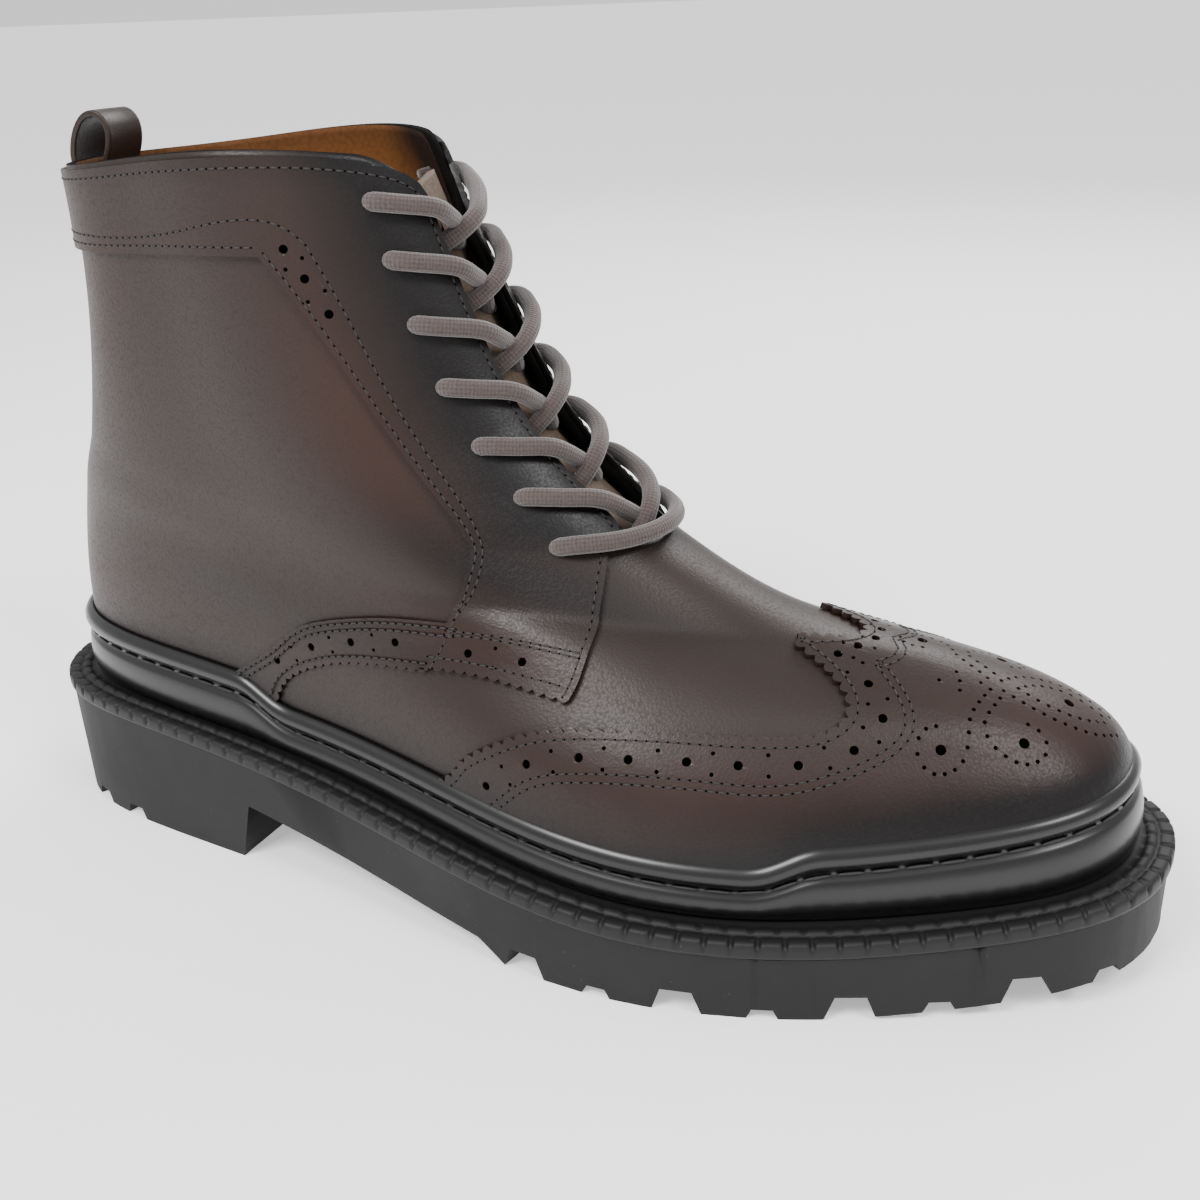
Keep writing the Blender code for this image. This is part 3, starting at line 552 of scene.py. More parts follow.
def leather(name, colour, patch, burnt, rough, cell=1500.0, depth=0.07 * MM, shine=0.35):
    """Grained leather; the attribute burnish darkens it to the burnt colour, and glow warms it."""
    made, tree, shader, place = new_material(name)
    grain = use_group(tree, GRAIN, place, Cell=cell)
    burnish = add_node(tree, "Attribute", attribute_name="burnish").outputs["Fac"]
    glow = add_node(tree, "Attribute", attribute_name="glow").outputs["Fac"]
    patches = grain.outputs["Patches"]
    pores = grain.outputs["Pores"]
    warm = times(tree, glow, plus(tree, times(tree, patches, 0.4), 0.6))
    base = mix_colour(tree, warm, colour, patch)
    light = tuple(min(c * 1.22, 1) for c in colour)
    base = mix_colour(tree, times(tree, patches, 0.22), base, light)
    base = mix_colour(tree, burnish, base, burnt)
    dark = tuple(c * 0.45 for c in burnt)
    base = mix_colour(tree, times(tree, pores, 0.2), base, dark)
    tree.links.new(base, shader.inputs["Base Color"])
    roughness = plus(tree, times(tree, patches, 0.08), rough - 0.04)
    roughness = plus(tree, times(tree, pores, 0.10), roughness)
    tree.links.new(roughness, shader.inputs["Roughness"])
    shader.inputs["Specular IOR Level"].default_value = shine
    add_bump(tree, shader, grain.outputs["Height"], 0.55, depth)
    return made


def rubber(name, colour, rough, tooth=1500.0, depth=0.08 * MM, haze=0.25, specks=0.5, gloss=0.0):
    """Black rubber with a haze of wear and specks of dust."""
    made, tree, shader, place = new_material(name)
    dust = use_group(tree, DUST, place, Tooth=tooth)
    pale = tuple(c * 2.4 + 0.004 for c in colour)
    base = mix_colour(tree, times(tree, dust.outputs["Haze"], haze), colour, pale)
    grey = linear(150, 148, 145)
    base = mix_colour(tree, times(tree, dust.outputs["Specks"], specks * 0.35), base, grey)
    tree.links.new(base, shader.inputs["Base Color"])
    shade = plus(tree, times(tree, dust.outputs["Haze"], 0.22), rough - 0.11)
    tree.links.new(shade, shader.inputs["Roughness"])
    set_sockets(shader, {"Specular IOR Level": 0.3, "Coat Weight": gloss, "Coat Roughness": 0.22})
    add_bump(tree, shader, dust.outputs["Height"], 0.5, depth)
    return made


PLAITS_ROUND = 7
PLAITS_PER_METRE = 620


def woven_cord(name, colour, shade):
    """A braided round cord: plaited cells along the cord's own map, with painted shade in their hollows, and
    loose fibres.
    """
    made, tree, shader, place = new_material(name)
    own = add_node(tree, "UVMap", uv_map="cord").outputs["UV"]
    split = add_node(tree, "SeparateXYZ")
    tree.links.new(own, split.inputs[0])
    turn = times(tree, split.outputs["X"], 2 * math.pi * PLAITS_ROUND)
    run = times(tree, split.outputs["Y"], 2 * math.pi * PLAITS_PER_METRE)
    one = math_node(tree, "SINE", plus(tree, turn, run))
    other = math_node(tree, "SINE", math_node(tree, "SUBTRACT", turn, run))
    plait = plus(tree, times(tree, times(tree, one, other), 0.5), 0.5)
    fibre = texture(tree, "Noise", place, Scale=2200.0, Detail=4.0, Roughness=0.75).outputs["Fac"]
    height = plus(tree, plait, times(tree, fibre, 1.3))
    # The plait's hollows take the darker colour: painted shade in the braid's grooves.
    tone = mix_colour(tree, plait, shade, colour)
    speck = graded(tree, fibre, ((0.45, 0.0), (0.68, 1.0)))
    pale = tuple(min(c * 1.7, 1) for c in colour)
    tone = mix_colour(tree, times(tree, speck, 0.5), tone, pale)
    tree.links.new(tone, shader.inputs["Base Color"])
    set_sockets(shader, {"Roughness": 0.88, "Specular IOR Level": 0.25, "Sheen Weight": 0.35})
    add_bump(tree, shader, height, 0.7, 0.17 * MM)
    return made


def thread(name, colour):
    made, tree, shader, place = new_material(name)
    twist = texture(tree, "Noise", place, Scale=2600.0, Detail=2.0).outputs["Fac"]
    pale = tuple(c * 2.1 for c in colour)
    tree.links.new(mix_colour(tree, twist, colour, pale), shader.inputs["Base Color"])
    set_sockets(shader, {"Roughness": 0.6})
    add_bump(tree, shader, twist, 0.4, 0.1 * MM)
    return made


def satin_metal(name, colour, rough):
    made, tree, shader, place = new_material(name)
    scuff = texture(tree, "Noise", place, Scale=900.0, Detail=6.0, Roughness=0.7).outputs["Fac"]
    dark = tuple(c * 0.6 for c in colour)
    tree.links.new(mix_colour(tree, scuff, dark, colour), shader.inputs["Base Color"])
    tree.links.new(plus(tree, times(tree, scuff, 0.25), rough - 0.12), shader.inputs["Roughness"])
    set_sockets(shader, {"Metallic": 1.0})
    add_bump(tree, shader, scuff, 0.25, 0.05 * MM)
    return made


UPPER = leather("burnished_upper", linear(41, 31, 27), linear(52, 25, 16), linear(7, 5, 4), 0.38, shine=0.27)
OVERLAY = leather(
    "burnished_overlay", linear(39, 28, 24), linear(52, 24, 15), linear(6, 4, 4), 0.37, shine=0.27
)
# Cut edges: near-black partly as edge dye and partly as painted shadow, so panel edges and pinked teeth read
# as dark shadow lines.
EDGE_DYE_AND_SHADE = leather("cut_edge_dye_and_shadow", linear(10, 7, 6), linear(11, 7, 6), linear(5, 4, 3), 0.8, shine=0.05)
LINING = leather(
    "tan_lining", linear(100, 62, 30), linear(106, 66, 32), linear(26, 14, 8), 0.72, 900.0, shine=0.15
)
TAUPE = leather(
    "taupe_leather", linear(98, 84, 73), linear(102, 86, 74), linear(40, 33, 29), 0.6, shine=0.2
)
# Near-black for painted shadow: the discs inside the punched holes and the needle-hole dots.
HOLE_SHADOW = leather("hole_shadow", linear(5, 4, 4), linear(5, 4, 4), linear(4, 3, 3), 0.9, shine=0.0)
SOLE = rubber("matte_sole", linear(15, 15, 16), 0.66, haze=0.14, specks=0.35)
WELT = rubber("welt_rubber", linear(14, 14, 15), 0.55, 1100.0, haze=0.14, specks=0.4)
RAND = rubber("polished_rand", linear(5, 5, 6), 0.36, 700.0, 0.03 * MM, 0.06, 0.15, 0.35)
# The second colour is the painted shade in the braid's hollows.
LACING = woven_cord("lace_braid", linear(72, 62, 59), linear(48, 40, 38))
DARK_THREAD = thread("dark_thread", linear(10, 8, 7))
BROWN_THREAD = thread("brown_thread", linear(19, 14, 12))
TAPE = thread("zip_tape", linear(16, 13, 12))
METAL = satin_metal("zip_metal", linear(120, 112, 104), 0.42)


# Making pieces

def finish_piece(name, shape, materials, replaces=(), smooth=True):
    """Turns a bmesh into a named piece that rides on the boot."""
    mesh = bpy.data.meshes.new(name)
    shape.to_mesh(mesh)
    shape.free()
    for one in materials:
        mesh.materials.append(one)
    mesh.polygons.foreach_set("use_smooth", [smooth] * len(mesh.polygons))
    obj = bpy.data.objects.new(name, mesh)
    bpy.context.scene.collection.objects.link(obj)
    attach(obj, "boot")
    if replaces:
        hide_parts(*replaces)
    return obj


def thicken(piece, thickness):
    """A wall behind the piece's face."""
    wall = piece.modifiers.new("wall", "SOLIDIFY")
    wall.thickness = thickness
    wall.offset = -1
    return wall


def round_edges(piece, width, segments, least_angle):
    soft = piece.modifiers.new("soft", "BEVEL")
    soft.width = width
    soft.segments = segments
    soft.limit_method = "ANGLE"
    soft.angle_limit = math.radians(least_angle)


def even_shading(piece):
    piece.modifiers.new("shade", "WEIGHTED_NORMAL").keep_sharp = True


def flat_sheet(columns, rows):
    """A flat sheet of that many cells, from 0 to 1 both ways, and its places."""
    shape = bmesh.new()
    bmesh.ops.create_grid(shape, x_segments=columns, y_segments=rows, size=0.5)
    bmesh.ops.translate(shape, verts=shape.verts, vec=(0.5, 0.5, 0))
    return shape, places_of(shape)


def places_of(shape):
    return np.array([vertex.co for vertex in shape.verts])


def bend_to(shape, spots):
    for vertex, spot in zip(shape.verts, np.asarray(spots).tolist()):
        vertex.co = spot


def gauss(value, middle, reach):
    return np.exp(-((value - middle) / reach) ** 2)


# Red-brown glows: strength, then middle and reach round the boot and up it
GLOWS = (
    (0.7, 0.335, 0.035, 0.70, 0.16), (0.75, 0.42, 0.12, 0.19, 0.07), (0.6, 0.05, 0.07, 0.25, 0.14),
    (0.6, 0.10, 0.06, 0.87, 0.08), (0.5, 0.27, 0.04, 0.36, 0.06), (0.4, 0.48, 0.06, 0.30, 0.08),
)


def burnish_at(t, v):
    """Where the leather is burnt dark, 0 to 1, and where it glows red-brown."""
    near = np.minimum(t, 1 - t)
    row = np.clip((v - 0.60) / 0.06, 0, 1)
    facing = 0.95 * row * np.clip((near - 0.338) / 0.06, 0, 1)
    tab = 0.55 * gauss(near, 0.36, 0.06) * gauss(v, 0.52, 0.12)
    over_rand = v - rand_top(t)
    foot = 0.75 * np.exp(-np.maximum(over_rand, 0) / 0.045)
    toe = 0.95 * np.clip((near - 0.30) / 0.10, 0, 1) * gauss(v, 0.08, 0.13)
    waist = 0.5 * gauss(near, 0.335, 0.05) * gauss(v, 0.60, 0.10)
    waist += 0.35 * gauss(near, 0.20, 0.10) * gauss(v, 0.33, 0.08)
    heel = 0.45 * gauss(near, 0.0, 0.05) * gauss(v, 0.3, 0.35)
    rim = 0.35 * np.clip((v - 0.955) / 0.04, 0, 1)
    burnish = np.clip(facing + tab + foot + toe + heel + rim + waist, 0, 0.97)
    glow = sum(
        most * gauss(near, middle_t, reach_t) * gauss(v, middle_v, reach_v)
        for most, middle_t, reach_t, middle_v, reach_v in GLOWS
    )
    return burnish, np.clip(glow, 0, 1)


def paint(obj, t, v):
    """Stores where the leather is burnt and where it glows, for its material."""
    for name, values in zip(("burnish", "glow"), burnish_at(t, v)):
        layer = obj.data.attributes.new(name, "FLOAT", "POINT")
        layer.data.foreach_set("value", np.asarray(values, np.float32))


# The shell of the upper

# How far the collar falls to its front corners, as a share of the upper's height
CORNER_FALL = 0.045


def add_shell():
    """The upper's one wall, lined inside, open at the collar, the throat and underneath."""
    shape, flat = flat_sheet(336, 112)
    gap = []
    for face in shape.faces:
        middle = face.calc_center_median()
        if middle.y > THROAT_FOOT and GAP_START < middle.x < 1 - GAP_START:
            gap.append(face)
    bmesh.ops.delete(shape, geom=gap, context="FACES")
    flat = places_of(shape)
    near = np.minimum(flat[:, 0], 1 - flat[:, 0])
    forward = np.clip((near - 0.40) / (GAP_START - 0.40), 0, 1) ** 2
    flat[:, 1] -= CORNER_FALL * forward * np.clip((flat[:, 1] - 0.85) / 0.15, 0, 1)
    bend_to(shape, on_boot(flat[:, 0], flat[:, 1], 0.0))
    tag = shape.verts.layers.float.new("t")
    tag_v = shape.verts.layers.float.new("v")
    for vertex, place in zip(shape.verts, flat):
        vertex[tag] = place[0]
        vertex[tag_v] = place[1]
    bmesh.ops.remove_doubles(shape, verts=shape.verts, dist=1e-6)
    t = np.array([vertex[tag] for vertex in shape.verts])
    v = np.array([vertex[tag_v] for vertex in shape.verts])
    shell = finish_piece("upper_shell", shape, (UPPER, LINING, EDGE_DYE_AND_SHADE), ("upper",))
    paint(shell, t, v)
    wall = thicken(shell, WALL)
    wall.use_even_offset = True
    wall.material_offset = 1
    # The shell's cut rims take the dark edge finish: edge dye with painted shadow.
    wall.material_offset_rim = 2


# Panels laid on the shell, cut from flat patterns

# Metres of a flat pattern for the whole way round the boot and up it
T_SCALE = 0.40
V_SCALE = 0.16
PANEL_STEP = 2.6 * MM
CUT_SOFTNESS = 0.22 * MM
QUARTER_SKIN = 1.1 * MM
EYELET_RADIUS = 1.75 * MM
BIG = 1.05 * MM
SMALL = 0.5 * MM
LEAST_LEATHER = 0.4 * MM
ALL_HOLES = []
SEAMS = []


def ring_at(place, radius, count):
    """Places on a round hole of a real radius."""
    turns = np.arange(count) / count * 2 * math.pi
    centre = np.repeat(np.array([place]), count, 0)
    with_t, _, normal = slopes(centre[:, 0], centre[:, 1])
    across = with_t / np.linalg.norm(with_t, axis=1, keepdims=True)
    up = np.cross(normal, across)
    return step_by(centre, (across * np.cos(turns)[:, None] + up * np.sin(turns)[:, None]) * radius)


def clear_holes(outline, holes):
    """The holes that stay clear of the outline and of each other."""
    outline = np.asarray(outline, float)
    edge = on_boot(outline[:, 0], outline[:, 1])
    kept = []
    for place, radius in holes:
        spot = on_boot(*place)
        to_edge = np.linalg.norm(edge - spot, axis=1).min()
        need = radius + LEAST_LEATHER
        apart = all(np.linalg.norm(spot - other) > need + size for _, size, other in kept)
        if apart and to_edge > need:
            kept.append((place, radius, spot))
    return [(place, radius) for place, radius, _ in kept]


def add_panel(name, outline, holes, replaces, high=TOP_SKIN):
    """A leather panel with its cut edge and its punched holes, each a place and a radius."""
    shape = bmesh.new()
    holes = clear_holes(outline, holes)
    ALL_HOLES.extend(holes)
    loops = [np.asarray(outline, float)]
    for place, radius in holes:
        loops.append(ring_at(place, radius, 14 if radius > 0.7 * MM else 8))
    for loop in loops:
        corners = [shape.verts.new((t * T_SCALE, v * V_SCALE, 0)) for t, v in loop]
        for first, second in zip(corners, corners[1:] + corners[:1]):
            shape.edges.new((first, second))
    bmesh.ops.triangle_fill(
        shape, use_beauty=True, use_dissolve=False, edges=shape.edges[:], normal=(0, 0, 1)
    )
    flat = places_of(shape)
    for axis in (0, 1):
        direction = np.eye(3)[axis]
        for level in np.arange(flat[:, axis].min() + PANEL_STEP, flat[:, axis].max(), PANEL_STEP):
            point = direction * level
            everything = shape.verts[:] + shape.edges[:] + shape.faces[:]
            bmesh.ops.bisect_plane(shape, geom=everything, dist=1e-7, plane_co=point, plane_no=direction)
    bmesh.ops.remove_doubles(shape, verts=shape.verts, dist=0.08 * MM)
    for face in shape.faces:
        if face.normal.z < 0:
            face.normal_flip()
    raised = bmesh.ops.extrude_face_region(shape, geom=shape.faces[:])["geom"]
    lifted = {element for element in raised if isinstance(element, bmesh.types.BMVert)}
    for vertex in lifted:
        vertex.co.z = 1
    shape.normal_update()
    rim = []
    for edge in shape.edges:
        if edge.verts[0] in lifted and edge.verts[1] in lifted:
            if any(abs(face.normal.z) < 0.5 for face in edge.link_faces):
                rim.append(edge)
    tops = places_of(shape)
    t, v, z = tops[:, 0] / T_SCALE, tops[:, 1] / V_SCALE, tops[:, 2]
    bend_to(shape, on_boot(t, v, SKIN + (high - SKIN) * z))
    spots_t = shape.verts.layers.float.new("t")
    spots_v = shape.verts.layers.float.new("v")
    for vertex, one, other in zip(shape.verts, t, v):
        vertex[spots_t] = one
        vertex[spots_v] = other
    # The cut walls take the dark edge finish: edge dye with a painted shadow line along each panel's edge.
    walls = [face for face in shape.faces if len({vertex in lifted for vertex in face.verts}) > 1]
    for face in walls:
        face.material_index = 1
    bmesh.ops.bevel(
        shape, geom=rim, offset=CUT_SOFTNESS, offset_type="OFFSET", segments=2, profile=0.5,
        affect="EDGES", clamp_overlap=True, material=-1,
    )
    bmesh.ops.recalc_face_normals(shape, faces=shape.faces)
    t = np.array([vertex[spots_t] for vertex in shape.verts])
    v = np.array([vertex[spots_v] for vertex in shape.verts])
    piece = finish_piece(name, shape, (OVERLAY, EDGE_DYE_AND_SHADE), replaces)
    paint(piece, t, v)
    even_shading(piece)


def sew_both(line):
    """A seam on the outer side, and the same one on the inner side."""
    SEAMS.append(line)
    SEAMS.append(inner_side(line))


def joined_line(*lines):
    """One line through the given ones, end to end."""
    points = [np.asarray(lines[0], float)]
    for line in lines[1:]:
        line = np.asarray(line, float)
        points.append(line[1:] if np.allclose(line[0], points[-1][-1], atol=2e-3) else line)
    return np.concatenate(points)


def punch_row(places, spread=2.3 * MM):
    """Big holes at the places, with a pair of small ones between each two."""
    places = np.asarray(places, float)
    holes = [(place, BIG) for place in places]
    for first, second in zip(places[:-1], places[1:]):
        window = np.array([first, (first + second) / 2, second])
        for side in (-spread, spread):
            holes.append((sideways(window, side)[1], SMALL))
    return holes


def add_wing_cap():
    half = joined_line(smooth_line(WING_EDGE, 160), smooth_line(WING_PEAK, 60))
    teeth = pinked(half)
    seam = joined_line(smooth_line(WING_SEAM, 120), smooth_line(WING_SEAM_PEAK, 40))
    holes = punch_row(WING_HOLES)
    everything = holes + [inner_hole(hole) for hole in holes] + medallion()
    low_t = np.linspace(half[0, 0], 1 - half[0, 0], 240)
    low = np.column_stack([low_t, rand_top(low_t) - 0.012])
    outline = np.concatenate([teeth[:-1], inner_side(teeth)[::-1], low[::-1][1:-1]])
    sew_both(sideways(half, -1.5 * MM))
    for distance in (0.0, -1.9 * MM):
        sew_both(sideways(seam, distance))
    return add_panel("wing_cap_leather", outline, everything, ("wing_cap",))


# The punched ornament of the toe, in millimetres forward along its own axis and out from it.
# Rows of small holes, each drawn through the given places, and the big holes.
MEDALLION_CENTRE = np.array([269.8, -8.0]) * MM
MEDALLION_TURN = math.radians(23)
MEDALLION_PITCH = 2.35
MEDALLION_ROWS = (
    (
        (-0.9, 1.6), (-4.3, 5.3), (-6.7, 8.8), (-7.4, 11.8), (-8.9, 14.8), (-13.5, 16.6), (-17.0, 15.9),
        (-18.8, 13.3), (-17.4, 10.7), (-14.2, 9.8),
    ),
    (
        (0.9, 3.6), (-2.0, 6.9), (-3.5, 9.1), (-3.3, 11.4), (-0.9, 13.6), (4.0, 15.4), (7.6, 14.6),
        (9.6, 12.4), (8.6, 9.9), (6.0, 8.7),
    ),
    ((2.1, 1.5), (5.9, 3.9), (10.8, 6.0), (16.9, 7.0), (22.5, 6.2), (27.1, 2.9)),
    ((5.6, 0.0), (8.6, 1.9), (13.5, 3.7), (19.7, 3.7), (24.8, 1.2)),
    ((-7.8, 2.4), (-7.8, 2.4)),
)
MEDALLION_AXIS = ((-12.0, SMALL), (-7.4, SMALL), (-2.7, SMALL), (17.1, 1.2 * MM))
MEDALLION_BIG = ((-13.6, 13.3), (4.6, 12.1))
TOUCHING = 1.5 * MM


def dots_along(points, pitch):
    """Places a pitch apart along the smooth line through the points."""
    if points[0] == points[-1]:
        return np.array(points[:1])
    line = smooth_line(points, 200)
    run = run_along(line)
    count = int(round(run[-1] / pitch))
    return resampled(run, line, np.linspace(0, run[-1], count + 1))


def places_under(spots):
    """Places t and v on the toe under points given in x and y."""
    t, v = np.meshgrid(np.linspace(0.36, 0.64, 57), np.linspace(0.08, 0.46, 39))
    grid = on_boot(t, v)
    found = []
    for spot in spots:
        away = np.hypot(grid[..., 0] - spot[0], grid[..., 1] - spot[1])
        k = np.unravel_index(away.argmin(), away.shape)
        place = np.array([t[k], v[k]])
        for _ in range(3):
            with_t, with_v, _ = slopes(place[:1], place[1:])
            miss = spot - on_boot(*place)[:2]
            place = place + np.linalg.solve(np.column_stack([with_t[0, :2], with_v[0, :2]]), miss)
        found.append(place)
    return found


def medallion():
    """Curls of small holes round big ones, the same on both sides of the toe's middle line."""
    holes = [((along, 0.0), radius) for along, radius in MEDALLION_AXIS]
    for side in (1, -1):
        for along, out in MEDALLION_BIG:
            holes.append(((along, out * side), 1.2 * MM))
        for row in MEDALLION_ROWS:
            for along, out in dots_along(row, MEDALLION_PITCH):
                holes.append(((along, out * side), SMALL))
    ahead = np.array([math.cos(MEDALLION_TURN), math.sin(MEDALLION_TURN)])
    outwards = np.array([ahead[1], -ahead[0]])
    kept = []
    spots = []
    for (along, out), radius in holes:
        spot = MEDALLION_CENTRE + SHIFT[:2] + (ahead * along + outwards * out) * MM
        if all(np.linalg.norm(spot - other) > TOUCHING for other in spots):
            spots.append(spot)
            kept.append(radius)
    return list(zip(places_under(spots), kept))


def eyelet_place(side, row):
    """Place of an eyelet: side -1 is the outer one, row 0 the top one."""
    column = LAST_EYELET_COLUMN if row == len(EYELETS) - 1 else EYELET_COLUMN
    return (column if side < 0 else 1 - column), EYELETS[row]


def add_facings():
    """The eyelet facing of each side, with the collar band and the small tab at its foot."""
    front = smooth_line(FACING_FRONT, 140)
    rear = smooth_line(FACING_BACK, 100)
    tab = pinked(smooth_line(TAB_FOOT, 30), 3.0 * MM, 1.0 * MM)
    collar_top = [
        (.003, .993), (.10, .993), (.25, .993), (.35, .993), (.40, .991), (.425, .987), (.445, .978),
        (.456, .968), (.4605, .957),
    ]
    collar_low = [(.25, .889), (.15, .889), (.003, .889)]
    outer = np.concatenate([collar_top, front, tab[1:-1], rear, collar_low])
    eyelets = [(np.array(eyelet_place(-1, row)), EYELET_RADIUS) for row in range(len(EYELETS))]
    holes = eyelets + punch_row(FACING_HOLES) + punch_row(TAB_HOLES)
    add_panel("facing_outer_leather", outer, holes, ("facing_outer",))
    cut = 1 - ZIP_LINE[0][0] + ZIP_GAP
    inner = np.concatenate([[(cut, .993)], collar_top[3:], front, tab[1:-1], rear, [(cut, .889)]])
    other = [inner_hole(hole) for hole in holes]
    add_panel("facing_inner_leather", inner_side(inner)[::-1], other, ("facing_inner",))
    back = 1 - ZIP_LINE[0][0] - ZIP_GAP
    band = [(.003, .993), (.10, .993), (back, .993), (back, .889), (.10, .889), (.003, .889)]
    add_panel("collar_band_leather", inner_side(band)[::-1], [], ("collar_band_inner",))
    for line in (
        sideways(front, -1.6 * MM),
        sideways(rear, -1.4 * MM),
        smooth_line(SECOND_SEAM, 100),
        smooth_line([(.250, .318), (.270, .330), (.292, .325)], 20),
        smooth_line([(.262, .372), (.283, .383), (.305, .374)], 20),
        smooth_line([(.264, .381), (.285, .391), (.307, .383)], 20),
    ):
        sew_both(line)
    top = smooth_line([(.004, .980), (.30, .980), (.38, .979), (.42, .974), (.443, .964), (.454, .950)], 120)
    low = np.column_stack([np.linspace(.004, .308, 80), np.full(80, .897)])
    for line in (top, low, smooth_line(BAND_SEAM, 90)):
        SEAMS.append(line)
        other = inner_side(line)
        SEAMS.append(other[line[:, 0] < back - .004])
        SEAMS.append(other[line[:, 0] > cut + .004])


def add_quarter_bands():
    top = smooth_line(QUARTER_TOP, 90)
    low = pinked(smooth_line(QUARTER_LOW, 80), 3.0 * MM, 1.0 * MM)
    foot_t = np.linspace(low[-1, 0], top[0, 0], 8)[1:-1]
    foot = np.column_stack([foot_t, rand_top(foot_t) - 0.01])
    outline = np.concatenate([top, [(.262, .345)], low, foot])
    holes = punch_row(QUARTER_HOLES, 1.9 * MM)
    other = [inner_hole(hole) for hole in holes]
    mirrored = inner_side(outline)[::-1]
    add_panel("quarter_band_outer_leather", outline, holes, ("quarter_band_outer",), QUARTER_SKIN)
    add_panel("quarter_band_inner_leather", mirrored, other, ("quarter_band_inner",), QUARTER_SKIN)
    for line in (
        sideways(top, -1.1 * MM), sideways(top, -2.8 * MM), sideways(smooth_line(QUARTER_LOW, 80), -1.5 * MM),
    ):
        sew_both(line)


# Stitches, and the painted shadow discs inside the punched holes

SEAM_PITCH = 2.35 * MM
SEAM_GIRTH = (0.24 * MM * 1.15, 0.24 * MM)
NEEDLE = 0.27 * MM
RAND_PITCH = 7.4 * MM
RAND_GIRTH = (0.42 * MM, 0.38 * MM)


def stitched(line, pitch, level, lift, share, girth, segments, shape):
    """Adds short threads lying end to end along a line, at a level over the upper."""
    places = paced(line, pitch)
    spots = on_boot(places[:, 0], places[:, 1], level)
    normals = slopes(places[:, 0], places[:, 1])[2]
    around, rings = segments
    for k in range(len(spots) - 1):
        ahead = Vector(spots[k + 1] - spots[k])
        up = Vector(normals[k] + normals[k + 1]).normalized()
        across = up.cross(ahead).normalized()
        middle = Vector((spots[k] + spots[k + 1]) / 2) + up * lift
        turn = Matrix((ahead.normalized(), across, up)).transposed().to_4x4()
        size = Matrix.Diagonal((ahead.length * share, *girth, 1))
        bmesh.ops.create_uvsphere(
            shape, u_segments=around, v_segments=rings, radius=1,
            matrix=Matrix.Translation(middle) @ turn @ size,
        )


def flat_dot(shape, spot, normal, radius, corners):
    """A round dot that faces along the normal."""
    turn = Vector(normal).to_track_quat("Z", "Y").to_matrix().to_4x4()
    bmesh.ops.create_circle(
        shape, cap_ends=True, segments=corners, radius=radius, matrix=Matrix.Translation(Vector(spot)) @ turn
    )


def add_seams():
    """The stitches of all leather seams, and a dot of painted shadow for the needle hole at each end of each
    stitch.
    """
    threads = bmesh.new()
    prick_shadows = bmesh.new()
    for line in SEAMS:
        stitched(line, SEAM_PITCH, TOP_SKIN, 0.0, 0.43, SEAM_GIRTH, (6, 4), threads)
        places = paced(line, SEAM_PITCH)
        spots = on_boot(places[:, 0], places[:, 1], TOP_SKIN + 0.02 * MM)
        normals = slopes(places[:, 0], places[:, 1])[2]
        # A near-black dot at each needle hole: painted shadow of the hole.
        for spot, normal in zip(spots, normals):
            flat_dot(prick_shadows, spot, normal, NEEDLE, 7)
    finish_piece("leather_stitches", threads, (BROWN_THREAD,))
    finish_piece("needle_hole_shadows", prick_shadows, (HOLE_SHADOW,))


def add_hole_shadow_discs():
    # A near-black disc near the bottom of each punched hole: painted shadow for the hole's depth.
    shape = bmesh.new()
    for place, radius in ALL_HOLES:
        spot = on_boot(place[0], place[1], SKIN + 0.12 * MM)
        normal = slopes(np.array([place[0]]), np.array([place[1]]))[2][0]
        flat_dot(shape, spot, normal, radius * 1.25, 10)
    return finish_piece("punched_hole_shadow_discs", shape, (HOLE_SHADOW,))


# The rand round the foot of the upper: thickness over the upper at distances below its top edge
RAND_SECTION = (
    (0.0, 0.1), (0.25, 1.1), (0.9, 2.1), (1.9, 2.75), (2.9, 2.85), (3.8, 2.45), (4.5, 1.75), (4.9, 1.25),
    (5.5, 1.15), (6.1, 1.3), (6.6, 1.9), (7.4, 2.35),
)
RAND_FACE = ((0.25, 2.75), (0.5, 2.95), (0.75, 2.75), (0.93, 2.3), (1.0, 1.9))
RAND_STITCH_DEPTH = 5.5 * MM


def rand_grid(t, section):
    """Points of the rand's face: a row for each place of its section."""
    top = rand_top(t)
    slope = np.linalg.norm(slopes(t, top / 2)[1], axis=1)
    last = RAND_SECTION[-1][0] * MM
    rows = []
    for kind, place, thick in section:
        if kind == "edge":
            v = top - place * MM / slope
        else:
            low = top - last / slope
            v = low * (1 - place)
        point = on_boot(t, np.maximum(v, 0), thick * MM)
        if kind == "face":
            foot = sole_top(point[:, 0] - SHIFT[0]) + 0.2 * MM
            point[:, 2] = np.maximum(point[:, 2], foot)
            if place == 1.0:
                point[:, 2] = foot
        rows.append(point)
    return np.array(rows)


def add_rand():
    section = [("edge", place, thick) for place, thick in RAND_SECTION]
    section += [("face", place, thick) for place, thick in RAND_FACE]
    columns = 720
    shape, flat = flat_sheet(columns, len(section) - 1)
    t = flat[:, 0]
    rows = np.round((1 - flat[:, 1]) * (len(section) - 1)).astype(int)
    grid_t = np.round(t * columns).astype(int)
    grid = rand_grid(np.arange(columns + 1) / columns, section)
    bend_to(shape, grid[rows, grid_t])
    bmesh.ops.remove_doubles(shape, verts=shape.verts, dist=1e-6)
    bmesh.ops.recalc_face_normals(shape, faces=shape.faces)
    piece = finish_piece("rand_band", shape, (RAND,), ("rand",))
    thicken(piece, 0.6 * MM)


